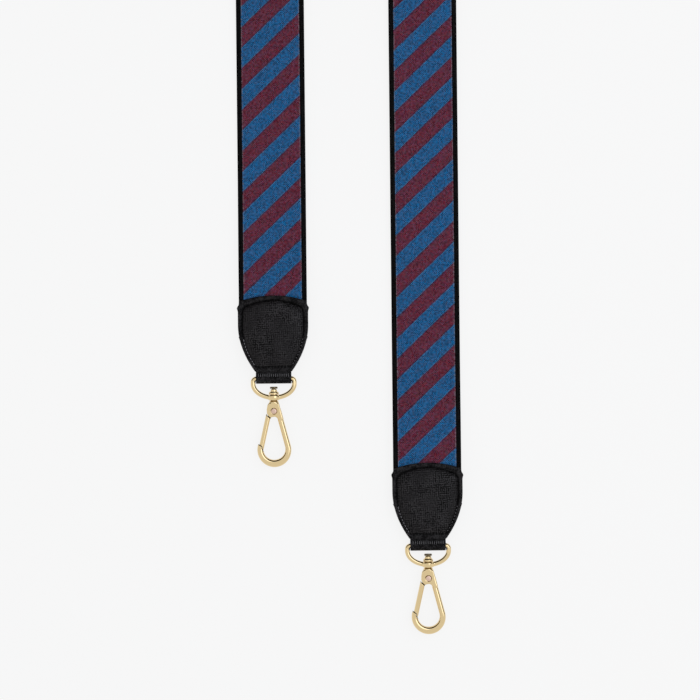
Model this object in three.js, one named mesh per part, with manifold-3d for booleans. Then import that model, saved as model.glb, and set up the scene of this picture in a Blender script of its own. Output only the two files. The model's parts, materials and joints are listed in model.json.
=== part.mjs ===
// A detachable shoulder strap for a bag: a leather-backed woven band laid flat on a table, with a
// padded leather tab, a D-ring and a swivel snap hook at each end.
// Millimetres, +X to the right, +Y towards the bend of the strap, +Z up from the table.
// The two legs lie side by side with their outer face up. Past them each leg turns onto its edge,
// and the band runs round an arch on that edge, so one unbroken band joins both ends.

import * as THREE from 'three';
import { mergeVertices } from 'three/addons/utils/BufferGeometryUtils.js';
import Module from 'manifold-3d';

const wasm = await Module();
wasm.setup();

// General fits
const fitGap = 0.3;
const cutOverrun = 2;

// The band
const bandWidth = 40;
const bandThickness = 3;
const backingLeather = 0.9;
const turnedEdgeWidth = 2.75;
const turnedEdgeLeather = 0.5;
const turnedEdgeRound = 0.35;
const ribbonRaisedStep = 0.5;

// How the strap lies
const legSpacing = 89.7;
const endOffset = 99.1;
const flatRun = 325;
const twistRun = 120;
const dropRun = 70;
const dropStart = 54;
const midHeight = 3.5;

// The leather tab, measured from the bar of the ring towards the band
const neckHalfWidth = 10.6;
const neckStart = 4;
const tabOverhang = 0.6;
const tabFlareLength = 27.6;
const tabFlareSlope = 0.72;
const tabSideEnd = 39.9;
const earOverhang = 1.3;
const earHeight = 41.6;
const earEnd = 43.5;
const tabCornerHeight = 44.9;
const tabPeak = 48.3;
const tabFrontLeather = 1.1;
const tabBackLeather = 1.7;
const seamInset = 2.3;
const topSeamInset = 2.9;
const lowerSeam = 7.2;
const fieldCorner = 5;
const grooveDepth = 0.4;
const padRise = 1.6;
const bandEnd = 25;

// The leather loop round the bar of the ring
const loopHalfWidth = 10.4;
const loopLeather = 1.2;
const loopLegGap = 0.6;
const loopMouth = 4;
const loopLegEnd = 18;

// The D-ring and its hub
const ringWire = 2.8;
const ringHalfWidth = 12.1;
const ringCorner = 1.8;
const ringSideLength = 1.2;
const ringBowDrop = 8.1;
const hubRadius = 3.4;
const hubFootRadius = 2.8;
const hubTop = 9.4;
const hubHeight = 3.4;
const hubRim = 0.6;

// The swivel
const shankRadius = 1.9;
const spigotRadius = 1;
const spigotHeight = 0.6;
const washerRadius = 2.95;
const washerThickness = 1.5;
const neckHeight = 1.4;
const capRadius = 2.3;
const capHeight = 1.2;
const collarRadius = 2.85;
const collarHeight = 1.1;

// The hook, measured from the bar of the ring
const rivetDrop = 19.05;
const hookThickness = 5;
const armThickness = 4.4;
const armHalfWidth = 1.65;
const bowHalfWidth = 2.2;
const noseHalfWidth = 1.8;
const bowRadius = 8.2;
const bowCentreDrop = 41.6;
const armLeanDeg = 14.8;
const noseTurnDeg = 158;
const headHalfWidth = 4.2;
const cheekRadius = 4.75;
const headBevel = 0.5;
const slotWidth = 3;
const slotRadius = 2.9;
const gateRootReach = 5.1;

// The gate, its rivet and its spring
const gateThickness = 4.2;
const gateWidth = 3.1;
const gateLeanDeg = 12.8;
const gateOffset = 2.66;
const gateLength = 21;
const gateBevel = 0.4;
const gateHornDeg = 11;
const knuckleRadius = 2.6;
const knuckleThickness = 1.3;
const tongueWidth = 1.1;
const tongueLength = 2.9;
const gateEndDrop = 0.9;
const rivetRadius = 0.8;
const rivetHeadRadius = 1.6;
const rivetHeadHeight = 0.45;
const rivetDome = 0.15;
const counterbore = 0.5;
const springWire = 0.5;
const springRadius = 1.5;
const springLegReach = 2.9;

// How finely round forms are cut
const wireSides = 10;
const turnedSides = 20;

const material = (color, roughness, metalness) =>
  new THREE.MeshStandardMaterial({ color, roughness, metalness });
const jacquardCloth = material(0x4a3f66, 0.85, 0);
const blackLeather = material(0x1b191b, 0.55, 0);
const padFoam = material(0x55524e, 0.95, 0);
const coreBoard = material(0x2a2624, 0.9, 0);
const paleGold = material(0xd9c088, 0.22, 1);
const springSteel = material(0x9a9a9c, 0.35, 1);

// A node's mesh from a geometry, whose vertices are merged so that it is one closed body.
function node(name, geometry, finish) {
  geometry.computeVertexNormals();
  const mesh = new THREE.Mesh(geometry, finish);
  mesh.name = name;
  return mesh;
}

function welded(geometry) {
  const bare = geometry.clone();
  bare.deleteAttribute('normal');
  bare.deleteAttribute('uv');
  return mergeVertices(bare, 1e-4);
}

function toSolid(geometry) {
  const bare = welded(geometry);
  return new wasm.Manifold(new wasm.Mesh({
    numProp: 3,
    vertProperties: new Float32Array(bare.attributes.position.array),
    triVerts: new Uint32Array(bare.index.array),
  }));
}

function fromSolid(solid) {
  const mesh = solid.getMesh();
  const geometry = new THREE.BufferGeometry();
  geometry.setAttribute('position', new THREE.BufferAttribute(new Float32Array(mesh.vertProperties), 3));
  geometry.setIndex(new THREE.BufferAttribute(new Uint32Array(mesh.triVerts), 1));
  return geometry;
}

// Turns every face the other way when the enclosed volume comes out negative.
function facingOut(geometry) {
  const position = geometry.attributes.position;
  const index = geometry.index.array;
  const [a, b, c] = [new THREE.Vector3(), new THREE.Vector3(), new THREE.Vector3()];
  let volume = 0;
  for (let i = 0; i < index.length; i += 3) {
    a.fromBufferAttribute(position, index[i]);
    b.fromBufferAttribute(position, index[i + 1]);
    c.fromBufferAttribute(position, index[i + 2]);
    volume += a.dot(b.cross(c));
  }
  if (volume < 0) {
    for (let i = 0; i < index.length; i += 3) {
      [index[i + 1], index[i + 2]] = [index[i + 2], index[i + 1]];
    }
  }
  return geometry;
}

function indexed(points, faces) {
  const geometry = new THREE.BufferGeometry();
  geometry.setAttribute('position', new THREE.Float32BufferAttribute(points.flatMap((p) => [p.x, p.y, p.z]), 3));
  geometry.setIndex(faces.flat());
  return facingOut(geometry);
}

// Carries a section, given as [across, out] pairs, through stations { at, across, out, wide, deep }.
// Each four-sided patch is split the same way across the width, so that where the stations twist,
// facing surfaces of two pieces bend alike and keep their gap.
function sweep(section, stations, closed = false) {
  const points = [];
  for (const { at, across, out, wide = 1, deep = 1 } of stations) {
    for (const [a, o] of section) {
      points.push(at.clone().addScaledVector(across, a * wide).addScaledVector(out, o * deep));
    }
  }
  const count = section.length;
  const faces = [];
  const spans = closed ? stations.length : stations.length - 1;
  for (let i = 0; i < spans; i++) {
    const here = i * count;
    const next = ((i + 1) % stations.length) * count;
    for (let j = 0; j < count; j++) {
      const k = (j + 1) % count;
      if (section[j][0] <= section[k][0]) {
        faces.push([here + j, here + k, next + k], [here + j, next + k, next + j]);
      } else {
        faces.push([here + j, here + k, next + j], [here + k, next + k, next + j]);
      }
    }
  }
  if (!closed) {
    const flat = section.map(([a, o]) => new THREE.Vector2(a, o));
    const last = (stations.length - 1) * count;
    for (const [a, b, c] of THREE.ShapeUtils.triangulateShape(flat, [])) {
      faces.push([a, c, b], [last + a, last + b, last + c]);
    }
  }
  return indexed(points, faces);
}

function circleSection(radius, sides) {
  return Array.from({ length: sides }, (_, i) => {
    const angle = (i / sides) * Math.PI * 2;
    return [Math.cos(angle) * radius, Math.sin(angle) * radius];
  });
}

const vec = (x, y, z = 0) => new THREE.Vector3(x, y, z);
const upward = vec(0, 0, 1);

// Stations along a path in the plane of the ring, with the section's width in that plane.
function planeStations(path, closed, scale = () => ({})) {
  const total = path.length;
  return path.map((at, i) => {
    const before = path[closed ? (i + total - 1) % total : Math.max(i - 1, 0)];
    const after = path[closed ? (i + 1) % total : Math.min(i + 1, total - 1)];
    const along = after.clone().sub(before).normalize();
    return { at, across: along.clone().cross(upward), out: upward, ...scale(i / (total - 1)) };
  });
}

function arcPoints(centre, radiusX, radiusY, fromDeg, toDeg, steps) {
  return Array.from({ length: steps + 1 }, (_, i) => {
    const angle = THREE.MathUtils.degToRad(fromDeg + ((toDeg - fromDeg) * i) / steps);
    return vec(centre.x + Math.cos(angle) * radiusX, centre.y + Math.sin(angle) * radiusY);
  });
}

function extruded(outline, thickness, bevel) {
  const shape = new THREE.Shape(outline.map((p) => new THREE.Vector2(p.x, p.y)));
  const geometry = new THREE.ExtrudeGeometry(shape, {
    depth: thickness - 2 * bevel,
    bevelEnabled: bevel > 0,
    bevelThickness: bevel,
    bevelSize: bevel,
    bevelOffset: -bevel,
    bevelSegments: 2,
  });
  return geometry.translate(0, 0, bevel - thickness / 2);
}

function cylinderZ(radius, height, at, sides = turnedSides) {
  return new THREE.CylinderGeometry(radius, radius, height, sides)
    .rotateX(Math.PI / 2).translate(at.x, at.y, at.z);
}

// Turned parts stand on the swivel's axis, which is Y. Profiles run from the lowest point up.
function turned(profile) {
  return welded(new THREE.LatheGeometry(profile.map(([r, y]) => new THREE.Vector2(r, y)), turnedSides));
}

// THE BAND

const bandHalf = bandWidth / 2;
const bandFace = bandThickness / 2;
const edgeRadius = legSpacing / 2 + bandHalf;
const twistStart = flatRun;
const archCentre = flatRun + twistRun;

const smooth = (u) => u * u * (3 - 2 * u);

// One leg: side is -1 on the left and 1 on the right. The outer edge runs straight along Y, and the
// section turns about it by the angle turn until the band stands on that edge.
function legStation(side, y, height, turn) {
  const across = vec(-side * Math.cos(turn), 0, Math.sin(turn));
  const out = vec(side * Math.sin(turn), 0, Math.cos(turn));
  const edge = vec(side * edgeRadius, y, height * Math.cos(turn));
  return { at: edge.addScaledVector(across, bandHalf), across, out };
}

function legStations(side, barY) {
  const dropSteps = 5;
  const twistSteps = 15;
  const stations = [legStation(side, barY + bandEnd, midHeight, 0)];
  for (let i = 0; i <= dropSteps; i++) {
    const u = i / dropSteps;
    const height = midHeight + (bandFace - midHeight) * smooth(u);
    stations.push(legStation(side, barY + dropStart + dropRun * u, height, 0));
  }
  for (let i = 0; i <= twistSteps; i++) {
    const u = i / twistSteps;
    stations.push(legStation(side, twistStart + twistRun * u, bandFace, (smooth(u) * Math.PI) / 2));
  }
  return stations;
}

function archStations() {
  const steps = 22;
  return Array.from({ length: steps - 1 }, (_, i) => {
    const angle = ((i + 1) / steps) * Math.PI;
    const out = vec(-Math.cos(angle), Math.sin(angle), 0);
    return { at: vec(0, archCentre, bandHalf).addScaledVector(out, edgeRadius), across: upward, out };
  });
}

const barHeights = { left: endOffset, right: 0 };
const bandStations = [
  ...legStations(-1, barHeights.left),
  ...archStations(),
  ...legStations(1, barHeights.right).reverse(),
];

// Leather backing: a back wall whose two edges are turned over onto the front of the ribbon.
const lipStart = bandHalf - turnedEdgeWidth;
const lipUnder = bandFace - turnedEdgeLeather;
const wallInner = bandHalf - backingLeather;
const backInner = backingLeather - bandFace;
const backingHalf = [
  [bandHalf - turnedEdgeRound, -bandFace],
  [bandHalf, turnedEdgeRound - bandFace],
  [bandHalf, bandFace - turnedEdgeRound],
  [bandHalf - turnedEdgeRound, bandFace],
  [lipStart, bandFace],
  [lipStart, lipUnder],
  [wallInner, lipUnder],
  [wallInner, backInner],
];

// A whole section from its right half, with a point on the middle line of its first and last face.
function mirrored(half) {
  const left = half.map(([a, o]) => [-a, o]).reverse();
  return [[0, half[0][1]], ...half, [0, half[half.length - 1][1]], ...left];
}

// Ribbon: its flat edges lie under the turned leather, and its patterned middle rises between them.
const ribbonHalf = wallInner - fitGap;
const ribbonBack = backInner + fitGap;
const ribbonEdgeTop = lipUnder - fitGap;
const ribbonStep = lipStart - fitGap;
const ribbonSection = mirrored([
  [ribbonHalf, ribbonBack],
  [ribbonHalf, ribbonEdgeTop],
  [ribbonStep, ribbonEdgeTop],
  [ribbonStep, ribbonEdgeTop + ribbonRaisedStep],
]);

const band = new THREE.Group();
band.add(
  node('leather_backing', sweep(mirrored(backingHalf), bandStations), blackLeather),
  node('jacquard_ribbon', sweep(ribbonSection, bandStations), jacquardCloth),
);

// THE LEATHER TAB

const tabHalfWidth = bandHalf + tabOverhang;
const earHalfWidth = bandHalf + earOverhang;
const panelCentre = vec(0, (neckStart + tabPeak) / 2);

function mirroredOutline(rightHalf) {
  const left = rightHalf.filter((p) => p.x > 0).map((p) => vec(-p.x, p.y)).reverse();
  return [...rightHalf, ...left];
}

// Right half of the tab, from the middle of the neck round to the peak of the top edge.
function tabOutline() {
  const flare = new THREE.QuadraticBezierCurve3(
    vec(neckHalfWidth, neckStart),
    vec(tabHalfWidth, neckStart + (tabHalfWidth - neckHalfWidth) / tabFlareSlope),
    vec(tabHalfWidth, neckStart + tabFlareLength),
  );
  return mirroredOutline([
    vec(0, neckStart),
    ...flare.getPoints(9),
    vec(tabHalfWidth, tabSideEnd),
    vec(earHalfWidth, earHeight),
    vec(bandHalf, earEnd),
    vec(bandHalf, tabCornerHeight),
    ...topArch(bandHalf, tabCornerHeight, tabPeak, 5),
  ]);
}

// The arched top edge, from just inside its corner to its peak on the middle line.
function topArch(half, cornerY, peakY, steps) {
  const rise = peakY - cornerY;
  const radius = (half * half + rise * rise) / (2 * rise);
  const spread = Math.asin(half / radius);
  return Array.from({ length: steps }, (_, i) => {
    const angle = spread * (1 - (i + 1) / steps);
    return vec(Math.sin(angle) * radius, peakY - radius + Math.cos(angle) * radius);
  });
}

// The padded field inside the seam: the tab's outline drawn in, with rounded upper corners.
function fieldOutline() {
  const half = tabHalfWidth - seamInset;
  const lowerHalf = neckHalfWidth + (lowerSeam - neckStart) * tabFlareSlope - seamInset;
  const cornerY = tabCornerHeight - topSeamInset;
  const peakY = tabPeak - topSeamInset;
  const flare = new THREE.QuadraticBezierCurve3(
    vec(lowerHalf, lowerSeam),
    vec(half, lowerSeam + (half - lowerHalf) / tabFlareSlope),
    vec(half, neckStart + tabFlareLength),
  );
  const corner = new THREE.QuadraticBezierCurve3(
    vec(half, cornerY - fieldCorner),
    vec(half, cornerY),
    vec(half - fieldCorner, cornerY + topSeamInset * (fieldCorner / half)),
  );
  return mirroredOutline([
    vec(0, lowerSeam),
    ...flare.getPoints(8),
    ...corner.getPoints(4),
    ...topArch(half - fieldCorner, cornerY + topSeamInset * (fieldCorner / half), peakY, 4),
  ]);
}

// How far a ray from the panel's centre, towards a point, goes before it leaves an outline.
function outlineReach(outline, towards) {
  const ray = towards.clone().sub(panelCentre).normalize();
  let reach = 0;
  outline.forEach((a, i) => {
    const b = outline[(i + 1) % outline.length];
    const edge = b.clone().sub(a);
    const offset = a.clone().sub(panelCentre);
    const spin = ray.x * edge.y - ray.y * edge.x;
    const along = (offset.x * edge.y - offset.y * edge.x) / spin;
    const share = (offset.x * ray.y - offset.y * ray.x) / spin;
    if (share > -1e-6 && share < 1 + 1e-6 && along > reach) reach = along;
  });
  return panelCentre.clone().addScaledVector(ray, reach);
}

// A closed panel from rings of points, with a single point closing each face of it.
function ringPanel(rings, firstZ, lastZ) {
  const count = rings[0].length;
  const points = [...rings.flat(), vec(panelCentre.x, panelCentre.y, firstZ), vec(panelCentre.x, panelCentre.y, lastZ)];
  const first = points.length - 2;
  const last = points.length - 1;
  const faces = [];
  const end = (rings.length - 1) * count;
  for (let j = 0; j < count; j++) {
    const k = (j + 1) % count;
    faces.push([first, k, j], [last, end + j, end + k]);
    for (let i = 0; i < rings.length - 1; i++) {
      const here = i * count;
      faces.push([here + j, here + k, here + count + k], [here + j, here + count + k, here + count + j]);
    }
  }
  return indexed(points, faces);
}

const flangeUnder = bandFace + fitGap;
const flangeTop = flangeUnder + tabFrontLeather;
const grooveFloor = flangeTop - grooveDepth;
const padCrown = (share) => grooveFloor + padRise * (1 - share ** 4) ** 0.6;

const outerOutline = tabOutline();
const innerOutline = outerOutline.map((p) => outlineReach(fieldOutline(), p));
const level = (ring, z) => ring.map((p) => vec(p.x, p.y, z));
const drawnIn = (share) => innerOutline.map((p) => panelCentre.clone().lerp(p, share));
const flangeAt = (share) => outerOutline.map((p, i) => p.clone().lerp(innerOutline[i], share));

function tabFront() {
  const fieldShares = [0.4, 0.7, 0.93];
  const flangeShares = [0.7, 0.25];
  const edgeRound = tabFrontLeather * 0.3;
  const under = fieldShares.map((s) => level(drawnIn(s), padCrown(s) - tabFrontLeather));
  const over = fieldShares.map((s) => level(drawnIn(s), padCrown(s))).reverse();
  return ringPanel([
    ...under,
    level(innerOutline, flangeUnder),
    level(outerOutline, flangeUnder),
    level(outerOutline, flangeTop - edgeRound),
    ...flangeShares.map((s) => level(flangeAt(s), flangeTop)).reverse(),
    level(innerOutline, grooveFloor),
    ...over,
  ], padCrown(0) - tabFrontLeather, padCrown(0));
}

function tabPadding() {
  const shares = [0.4, 0.7, 0.88];
  const top = (s) => padCrown(s) - tabFrontLeather - fitGap;
  return ringPanel([
    ...shares.map((s) => level(drawnIn(s), flangeUnder)),
    ...shares.map((s) => level(drawnIn(s), top(s))).reverse(),
  ], flangeUnder, top(0));
}

function tabBack() {
  const geometry = extruded(outerOutline, tabBackLeather, 0);
  return welded(geometry.translate(0, 0, -midHeight + tabBackLeather / 2));
}

// The board core fills the tab's edges below the band's end, on both sides of the leather loop.
function tabCore() {
  const top = bandEnd - fitGap;
  const slotHalf = loopHalfWidth + fitGap;
  const slotTop = loopLegEnd + fitGap;
  const flank = outerOutline.filter((p) => p.x > slotHalf + fitGap && p.y < top);
  const bottom = flank[0];
  const right = [
    vec(slotHalf, slotTop),
    vec(slotHalf, bottom.y),
    ...flank,
    vec(tabHalfWidth - fitGap, top),
  ];
  const outline = [...right, ...right.map((p) => vec(-p.x, p.y)).reverse()];
  return welded(extruded(outline, bandThickness, 0));
}

// The loop's path in the Y-Z plane: two flat legs, drawn together above the bar, round the bar.
function ringLoop() {
  const fold = ringWire / 2 + fitGap + loopLeather / 2;
  const legZ = (loopLegGap + loopLeather) / 2;
  const reach = Math.hypot(loopMouth, legZ);
  const tangent = Math.atan2(legZ, loopMouth) + Math.acos(fold / reach);
  const steps = 14;
  const path = [vec(loopLegEnd, legZ), vec(loopMouth, legZ)];
  for (let i = 0; i <= steps; i++) {
    const angle = tangent + ((2 * Math.PI - 2 * tangent) * i) / steps;
    path.push(vec(Math.cos(angle) * fold, Math.sin(angle) * fold));
  }
  path.push(vec(loopMouth, -legZ), vec(loopLegEnd, -legZ));
  const stations = planeStations(path, false).map(({ at, across }) => ({
    at: vec(0, at.x, at.y),
    across: vec(1, 0, 0),
    out: vec(0, across.x, across.y),
  }));
  const half = loopLeather / 2;
  return sweep([
    [-loopHalfWidth, -half], [loopHalfWidth, -half], [loopHalfWidth, half], [-loopHalfWidth, half],
  ], stations);
}

// THE D-RING

function ringWirePath() {
  const cornerX = ringHalfWidth - ringCorner;
  const side = ringCorner + ringSideLength;
  return [
    ...arcPoints(vec(cornerX, -ringCorner), ringCorner, ringCorner, 90, 0, 3),
    ...arcPoints(vec(0, -side), ringHalfWidth, ringBowDrop, 0, -180, 22),
    ...arcPoints(vec(-cornerX, -ringCorner), ringCorner, ringCorner, 180, 90, 3),
  ];
}

function dRing() {
  const wire = sweep(circleSection(ringWire / 2, wireSides), planeStations(ringWirePath(), true), true);
  const rim = hubRadius - hubRim;
  const hub = turned([
    [0, -hubTop - hubHeight],
    [hubFootRadius, -hubTop - hubHeight],
    [hubRadius, -hubTop - hubHeight + 2 * hubRim],
    [hubRadius, -hubTop - hubRim],
    [rim, -hubTop],
    [0, -hubTop],
  ]);
  const bore = turned([
    [0, -hubTop - hubHeight - cutOverrun],
    [shankRadius + fitGap, -hubTop - hubHeight - cutOverrun],
    [shankRadius + fitGap, -hubTop + cutOverrun],
    [0, -hubTop + cutOverrun],
  ]);
  return fromSolid(toSolid(wire).add(toSolid(hub)).subtract(toSolid(bore)));
}

// THE SWIVEL

const collarTop = hubTop + hubHeight + fitGap;
const washerTop = hubTop - fitGap - washerThickness;
const shankTop = washerTop - neckHeight;
const capFoot = shankTop - fitGap;

function swivelWasher() {
  const inner = shankRadius + fitGap;
  const round = hubRim / 2;
  return turned([
    [inner, -washerTop - washerThickness],
    [washerRadius, -washerTop - washerThickness],
    [washerRadius, -washerTop - round],
    [washerRadius - round, -washerTop],
    [inner, -washerTop],
    [inner, -washerTop - washerThickness],
  ]);
}

function swivelCap() {
  const bore = spigotRadius + fitGap;
  const dome = hubRim;
  const top = capFoot - capHeight;
  return turned([
    [0, -capFoot + spigotHeight],
    [bore, -capFoot + spigotHeight],
    [bore, -capFoot],
    [capRadius, -capFoot],
    [capRadius, -top - dome],
    [capRadius - dome, -top],
    [0, -top],
  ]);
}

// THE HOOK

const pivot = vec(0, -rivetDrop);
const bowCentre = vec(0, -bowCentreDrop);
const armLean = THREE.MathUtils.degToRad(armLeanDeg);

// The middle of the straight arm at a height, and its two sides there.
function armPoint(y, side = 0) {
  const foot = vec(bowRadius * Math.cos(armLean), bowCentre.y + bowRadius * Math.sin(armLean));
  return vec(foot.x - (y - foot.y) * Math.tan(armLean) + (side * armHalfWidth) / Math.cos(armLean), y);
}

// Right arm, straight from the head, then the bow round to the nose on the left.
function armPath() {
  const bow = arcPoints(bowCentre, bowRadius, bowRadius, armLeanDeg, noseTurnDeg - 360, 22);
  const start = armPoint(pivot.y);
  return [start, start.clone().lerp(bow[0], 0.5), ...bow];
}

// Half width along the arm: slim, fullest at the foot of the bow, slim again towards the nose.
function armScale(share) {
  const swell = Math.exp(-(((share - 0.5) / 0.28) ** 2));
  const slim = armHalfWidth + (noseHalfWidth - armHalfWidth) * share;
  return { wide: slim + (bowHalfWidth - slim) * swell };
}

function headOutline() {
  const outerDeg = gateSideDeg(gateRootReach, gateOuter);
  const innerDeg = gateSideDeg(gateRootReach, gateInner);
  const lower = arcPoints(pivot, cheekRadius, cheekRadius, outerDeg, innerDeg, 5);
  const collarY = -collarTop - collarHeight;
  const rootY = pivot.y - cheekRadius * 1.15;
  return [
    vec(-collarRadius, collarY),
    vec(-headHalfWidth + headBevel, collarY - collarHeight),
    vec(-headHalfWidth, pivot.y + headHalfWidth / 4),
    ...lower,
    vec(-slotRadius / 3, pivot.y - cheekRadius * 0.8),
    vec(slotRadius / 5, pivot.y - cheekRadius * 0.76),
    vec(armPoint(rootY, -1).x - headBevel, pivot.y - cheekRadius * 0.88),
    armPoint(rootY, -0.4),
    armPoint(rootY, 0.6),
    armPoint(rootY + headBevel, 1),
    armPoint(collarY - collarHeight, 1),
    vec(collarRadius, collarY),
  ];
}

function shankProfile() {
  return turned([
    [0, -collarTop - 2 * collarHeight],
    [collarRadius - headBevel, -collarTop - 2 * collarHeight],
    [collarRadius, -collarTop - collarHeight],
    [collarRadius, -collarTop - headBevel],
    [collarRadius - headBevel, -collarTop],
    [shankRadius, -collarTop],
    [shankRadius, -shankTop],
    [spigotRadius, -shankTop],
    [spigotRadius, -capFoot + spigotHeight - fitGap],
    [0, -capFoot + spigotHeight - fitGap],
  ]);
}

// The slot holds the gate's knuckle and opens downwards as far as the gate swings.
function gateSlot() {
  const reach = cheekRadius * 2;
  const fan = arcPoints(pivot, reach, reach, gateSideDeg(gateRootReach, gateOuter + fitGap), 270, 6);
  const wedge = toSolid(extruded([pivot, ...fan], slotWidth, 0));
  return wedge.add(toSolid(cylinderZ(slotRadius, slotWidth, pivot)));
}

// The nose's slanting end and the notch below it, which the gate's end and tongue close against.
function noseNotch() {
  const tip = gatePoint(gateLength + tongueLength, gateInner);
  const wall = gateInner + tongueWidth + fitGap;
  const endDown = (left) => gateLength + gateEndSlope * (gateOuter - left) + fitGap * Math.hypot(1, gateEndSlope);
  const outer = gatePoint(endDown(gateOuter + cutOverrun), gateOuter + cutOverrun);
  const foot = tip.y - 2 * fitGap;
  const top = outer.y + cutOverrun;
  return toSolid(extruded([
    vec(outer.x, top),
    outer,
    gatePoint(endDown(wall), wall),
    gatePoint(gateLength + tongueLength - tongueWidth + fitGap / 2, wall),
    vec(tip.x - fitGap / 2, foot),
    vec(0, foot),
    vec(0, top),
  ], armThickness + cutOverrun, 0));
}

// The closed gate, seen from the front: down runs along it from the pivot, and left runs outwards.
const gateLean = THREE.MathUtils.degToRad(gateLeanDeg);
const gateOuter = gateOffset + gateWidth / 2;
const gateInner = gateOffset - gateWidth / 2;
const gateEndSlope = gateEndDrop / (gateWidth - tongueWidth);

function gatePoint(down, left) {
  return vec(
    pivot.x - Math.sin(gateLean) * down - Math.cos(gateLean) * left,
    pivot.y - Math.cos(gateLean) * down + Math.sin(gateLean) * left,
  );
}

// Where a radius about the pivot meets one side of the gate, as an angle about the pivot.
function gateSideDeg(radius, left) {
  return 270 - gateLeanDeg - THREE.MathUtils.radToDeg(Math.asin(left / radius));
}

function hookBody() {
  const sides = 12;
  const oval = Array.from({ length: sides }, (_, i) => {
    const angle = ((i + 0.5) / sides) * Math.PI * 2;
    return [Math.cos(angle), Math.sin(angle) * (armThickness / 2)];
  });
  const arm = sweep(oval, planeStations(armPath(), false, armScale));
  const cheekHole = cylinderZ(rivetRadius + fitGap, hookThickness + cutOverrun, pivot, 16);
  const boreDepth = counterbore + cutOverrun;
  const boreZ = hookThickness / 2 - counterbore + boreDepth / 2;
  let body = toSolid(extruded(headOutline(), hookThickness, headBevel))
    .add(toSolid(arm))
    .add(toSolid(shankProfile()))
    .subtract(gateSlot())
    .subtract(toSolid(cheekHole))
    .subtract(noseNotch());
  for (const face of [-1, 1]) {
    const place = vec(pivot.x, pivot.y, face * boreZ);
    body = body.subtract(toSolid(cylinderZ(rivetHeadRadius + fitGap, boreDepth, place, 16)));
  }
  return fromSolid(body);
}

function gateBody() {
  const innerDeg = gateSideDeg(gateRootReach, gateInner);
  const outerDeg = gateSideDeg(gateRootReach, gateOuter);
  const outline = [
    ...arcPoints(pivot, gateRootReach, gateRootReach, innerDeg, outerDeg + gateHornDeg, 6),
    gatePoint(Math.sqrt(gateRootReach ** 2 - gateOuter ** 2) + gateWidth / 3, gateOuter),
    gatePoint(gateLength, gateOuter),
    gatePoint(gateLength + gateEndDrop, gateInner + tongueWidth),
    gatePoint(gateLength + tongueLength - tongueWidth, gateInner + tongueWidth),
    gatePoint(gateLength + tongueLength, gateInner),
  ];
  const blade = toSolid(extruded(outline, gateThickness, gateBevel));
  const kneeZ = -slotWidth / 2 + fitGap + knuckleThickness / 2;
  const neck = extruded([
    gatePoint(0, knuckleRadius * 0.9),
    gatePoint(gateRootReach * 1.4, gateOuter - gateBevel - fitGap),
    gatePoint(gateRootReach * 1.4, gateInner + gateBevel),
    gatePoint(0, 0),
  ], knuckleThickness, 0).translate(0, 0, kneeZ);
  const knucklePlace = vec(pivot.x, pivot.y, kneeZ);
  return fromSolid(blade
    .add(toSolid(neck))
    .add(toSolid(cylinderZ(knuckleRadius, knuckleThickness, knucklePlace)))
    .subtract(toSolid(cylinderZ(rivetRadius + fitGap, hookThickness, pivot, 16))));
}

function gateRivet() {
  const seat = hookThickness / 2 - counterbore + fitGap;
  const rim = seat + rivetHeadHeight - rivetDome;
  const half = [
    [rivetRadius, seat],
    [rivetHeadRadius, seat],
    [rivetHeadRadius, rim],
    [rivetHeadRadius * 0.6, rim + rivetDome],
    [0, rim + rivetDome],
  ];
  const profile = [...half.map(([r, y]) => [r, -y]).reverse(), ...half];
  return turned(profile).rotateX(Math.PI / 2).translate(pivot.x, pivot.y, 0);
}

// A hairpin spring: most of a turn round the rivet, one leg up into the head, one down to the gate.
function gateSpring() {
  const coil = arcPoints(pivot, springRadius, springRadius, 150, -110, 10);
  const first = pivot.clone().addScaledVector(coil[0].clone().sub(pivot).normalize(), slotRadius - springWire);
  const down = vec(-springRadius / 2, -springLegReach).add(pivot);
  const path = [first, ...coil, down];
  const z = -slotWidth / 2 + fitGap + knuckleThickness + fitGap + springWire / 2;
  return sweep(circleSection(springWire / 2, 6), planeStations(path, false)).translate(0, 0, z);
}

// ASSEMBLY

function strapEnd(side, barY, x) {
  const end = new THREE.Group();
  end.add(
    node(`${side}_tab_front`, tabFront(), blackLeather),
    node(`${side}_tab_padding`, tabPadding(), padFoam),
    node(`${side}_tab_core`, tabCore(), coreBoard),
    node(`${side}_tab_back`, tabBack(), blackLeather),
    node(`${side}_ring_loop`, ringLoop(), blackLeather),
    node(`${side}_d_ring`, dRing(), paleGold),
    node(`${side}_swivel_washer`, swivelWasher(), paleGold),
    node(`${side}_swivel_cap`, swivelCap(), paleGold),
    node(`${side}_hook_body`, hookBody(), paleGold),
    node(`${side}_gate`, gateBody(), paleGold),
    node(`${side}_gate_rivet`, gateRivet(), paleGold),
    node(`${side}_gate_spring`, gateSpring(), springSteel),
  );
  end.position.set(x, barY, midHeight);
  return end;
}

const strap = new THREE.Group();
strap.add(
  band,
  strapEnd('left', barHeights.left, -legSpacing / 2),
  strapEnd('right', barHeights.right, legSpacing / 2),
);

// The origin is the middle of the object's box on the table.
const box = new THREE.Box3().setFromObject(strap);
strap.position.set(-(box.min.x + box.max.x) / 2, -(box.min.y + box.max.y) / 2, -box.min.z);

export default strap;
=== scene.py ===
import json
import math

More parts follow.
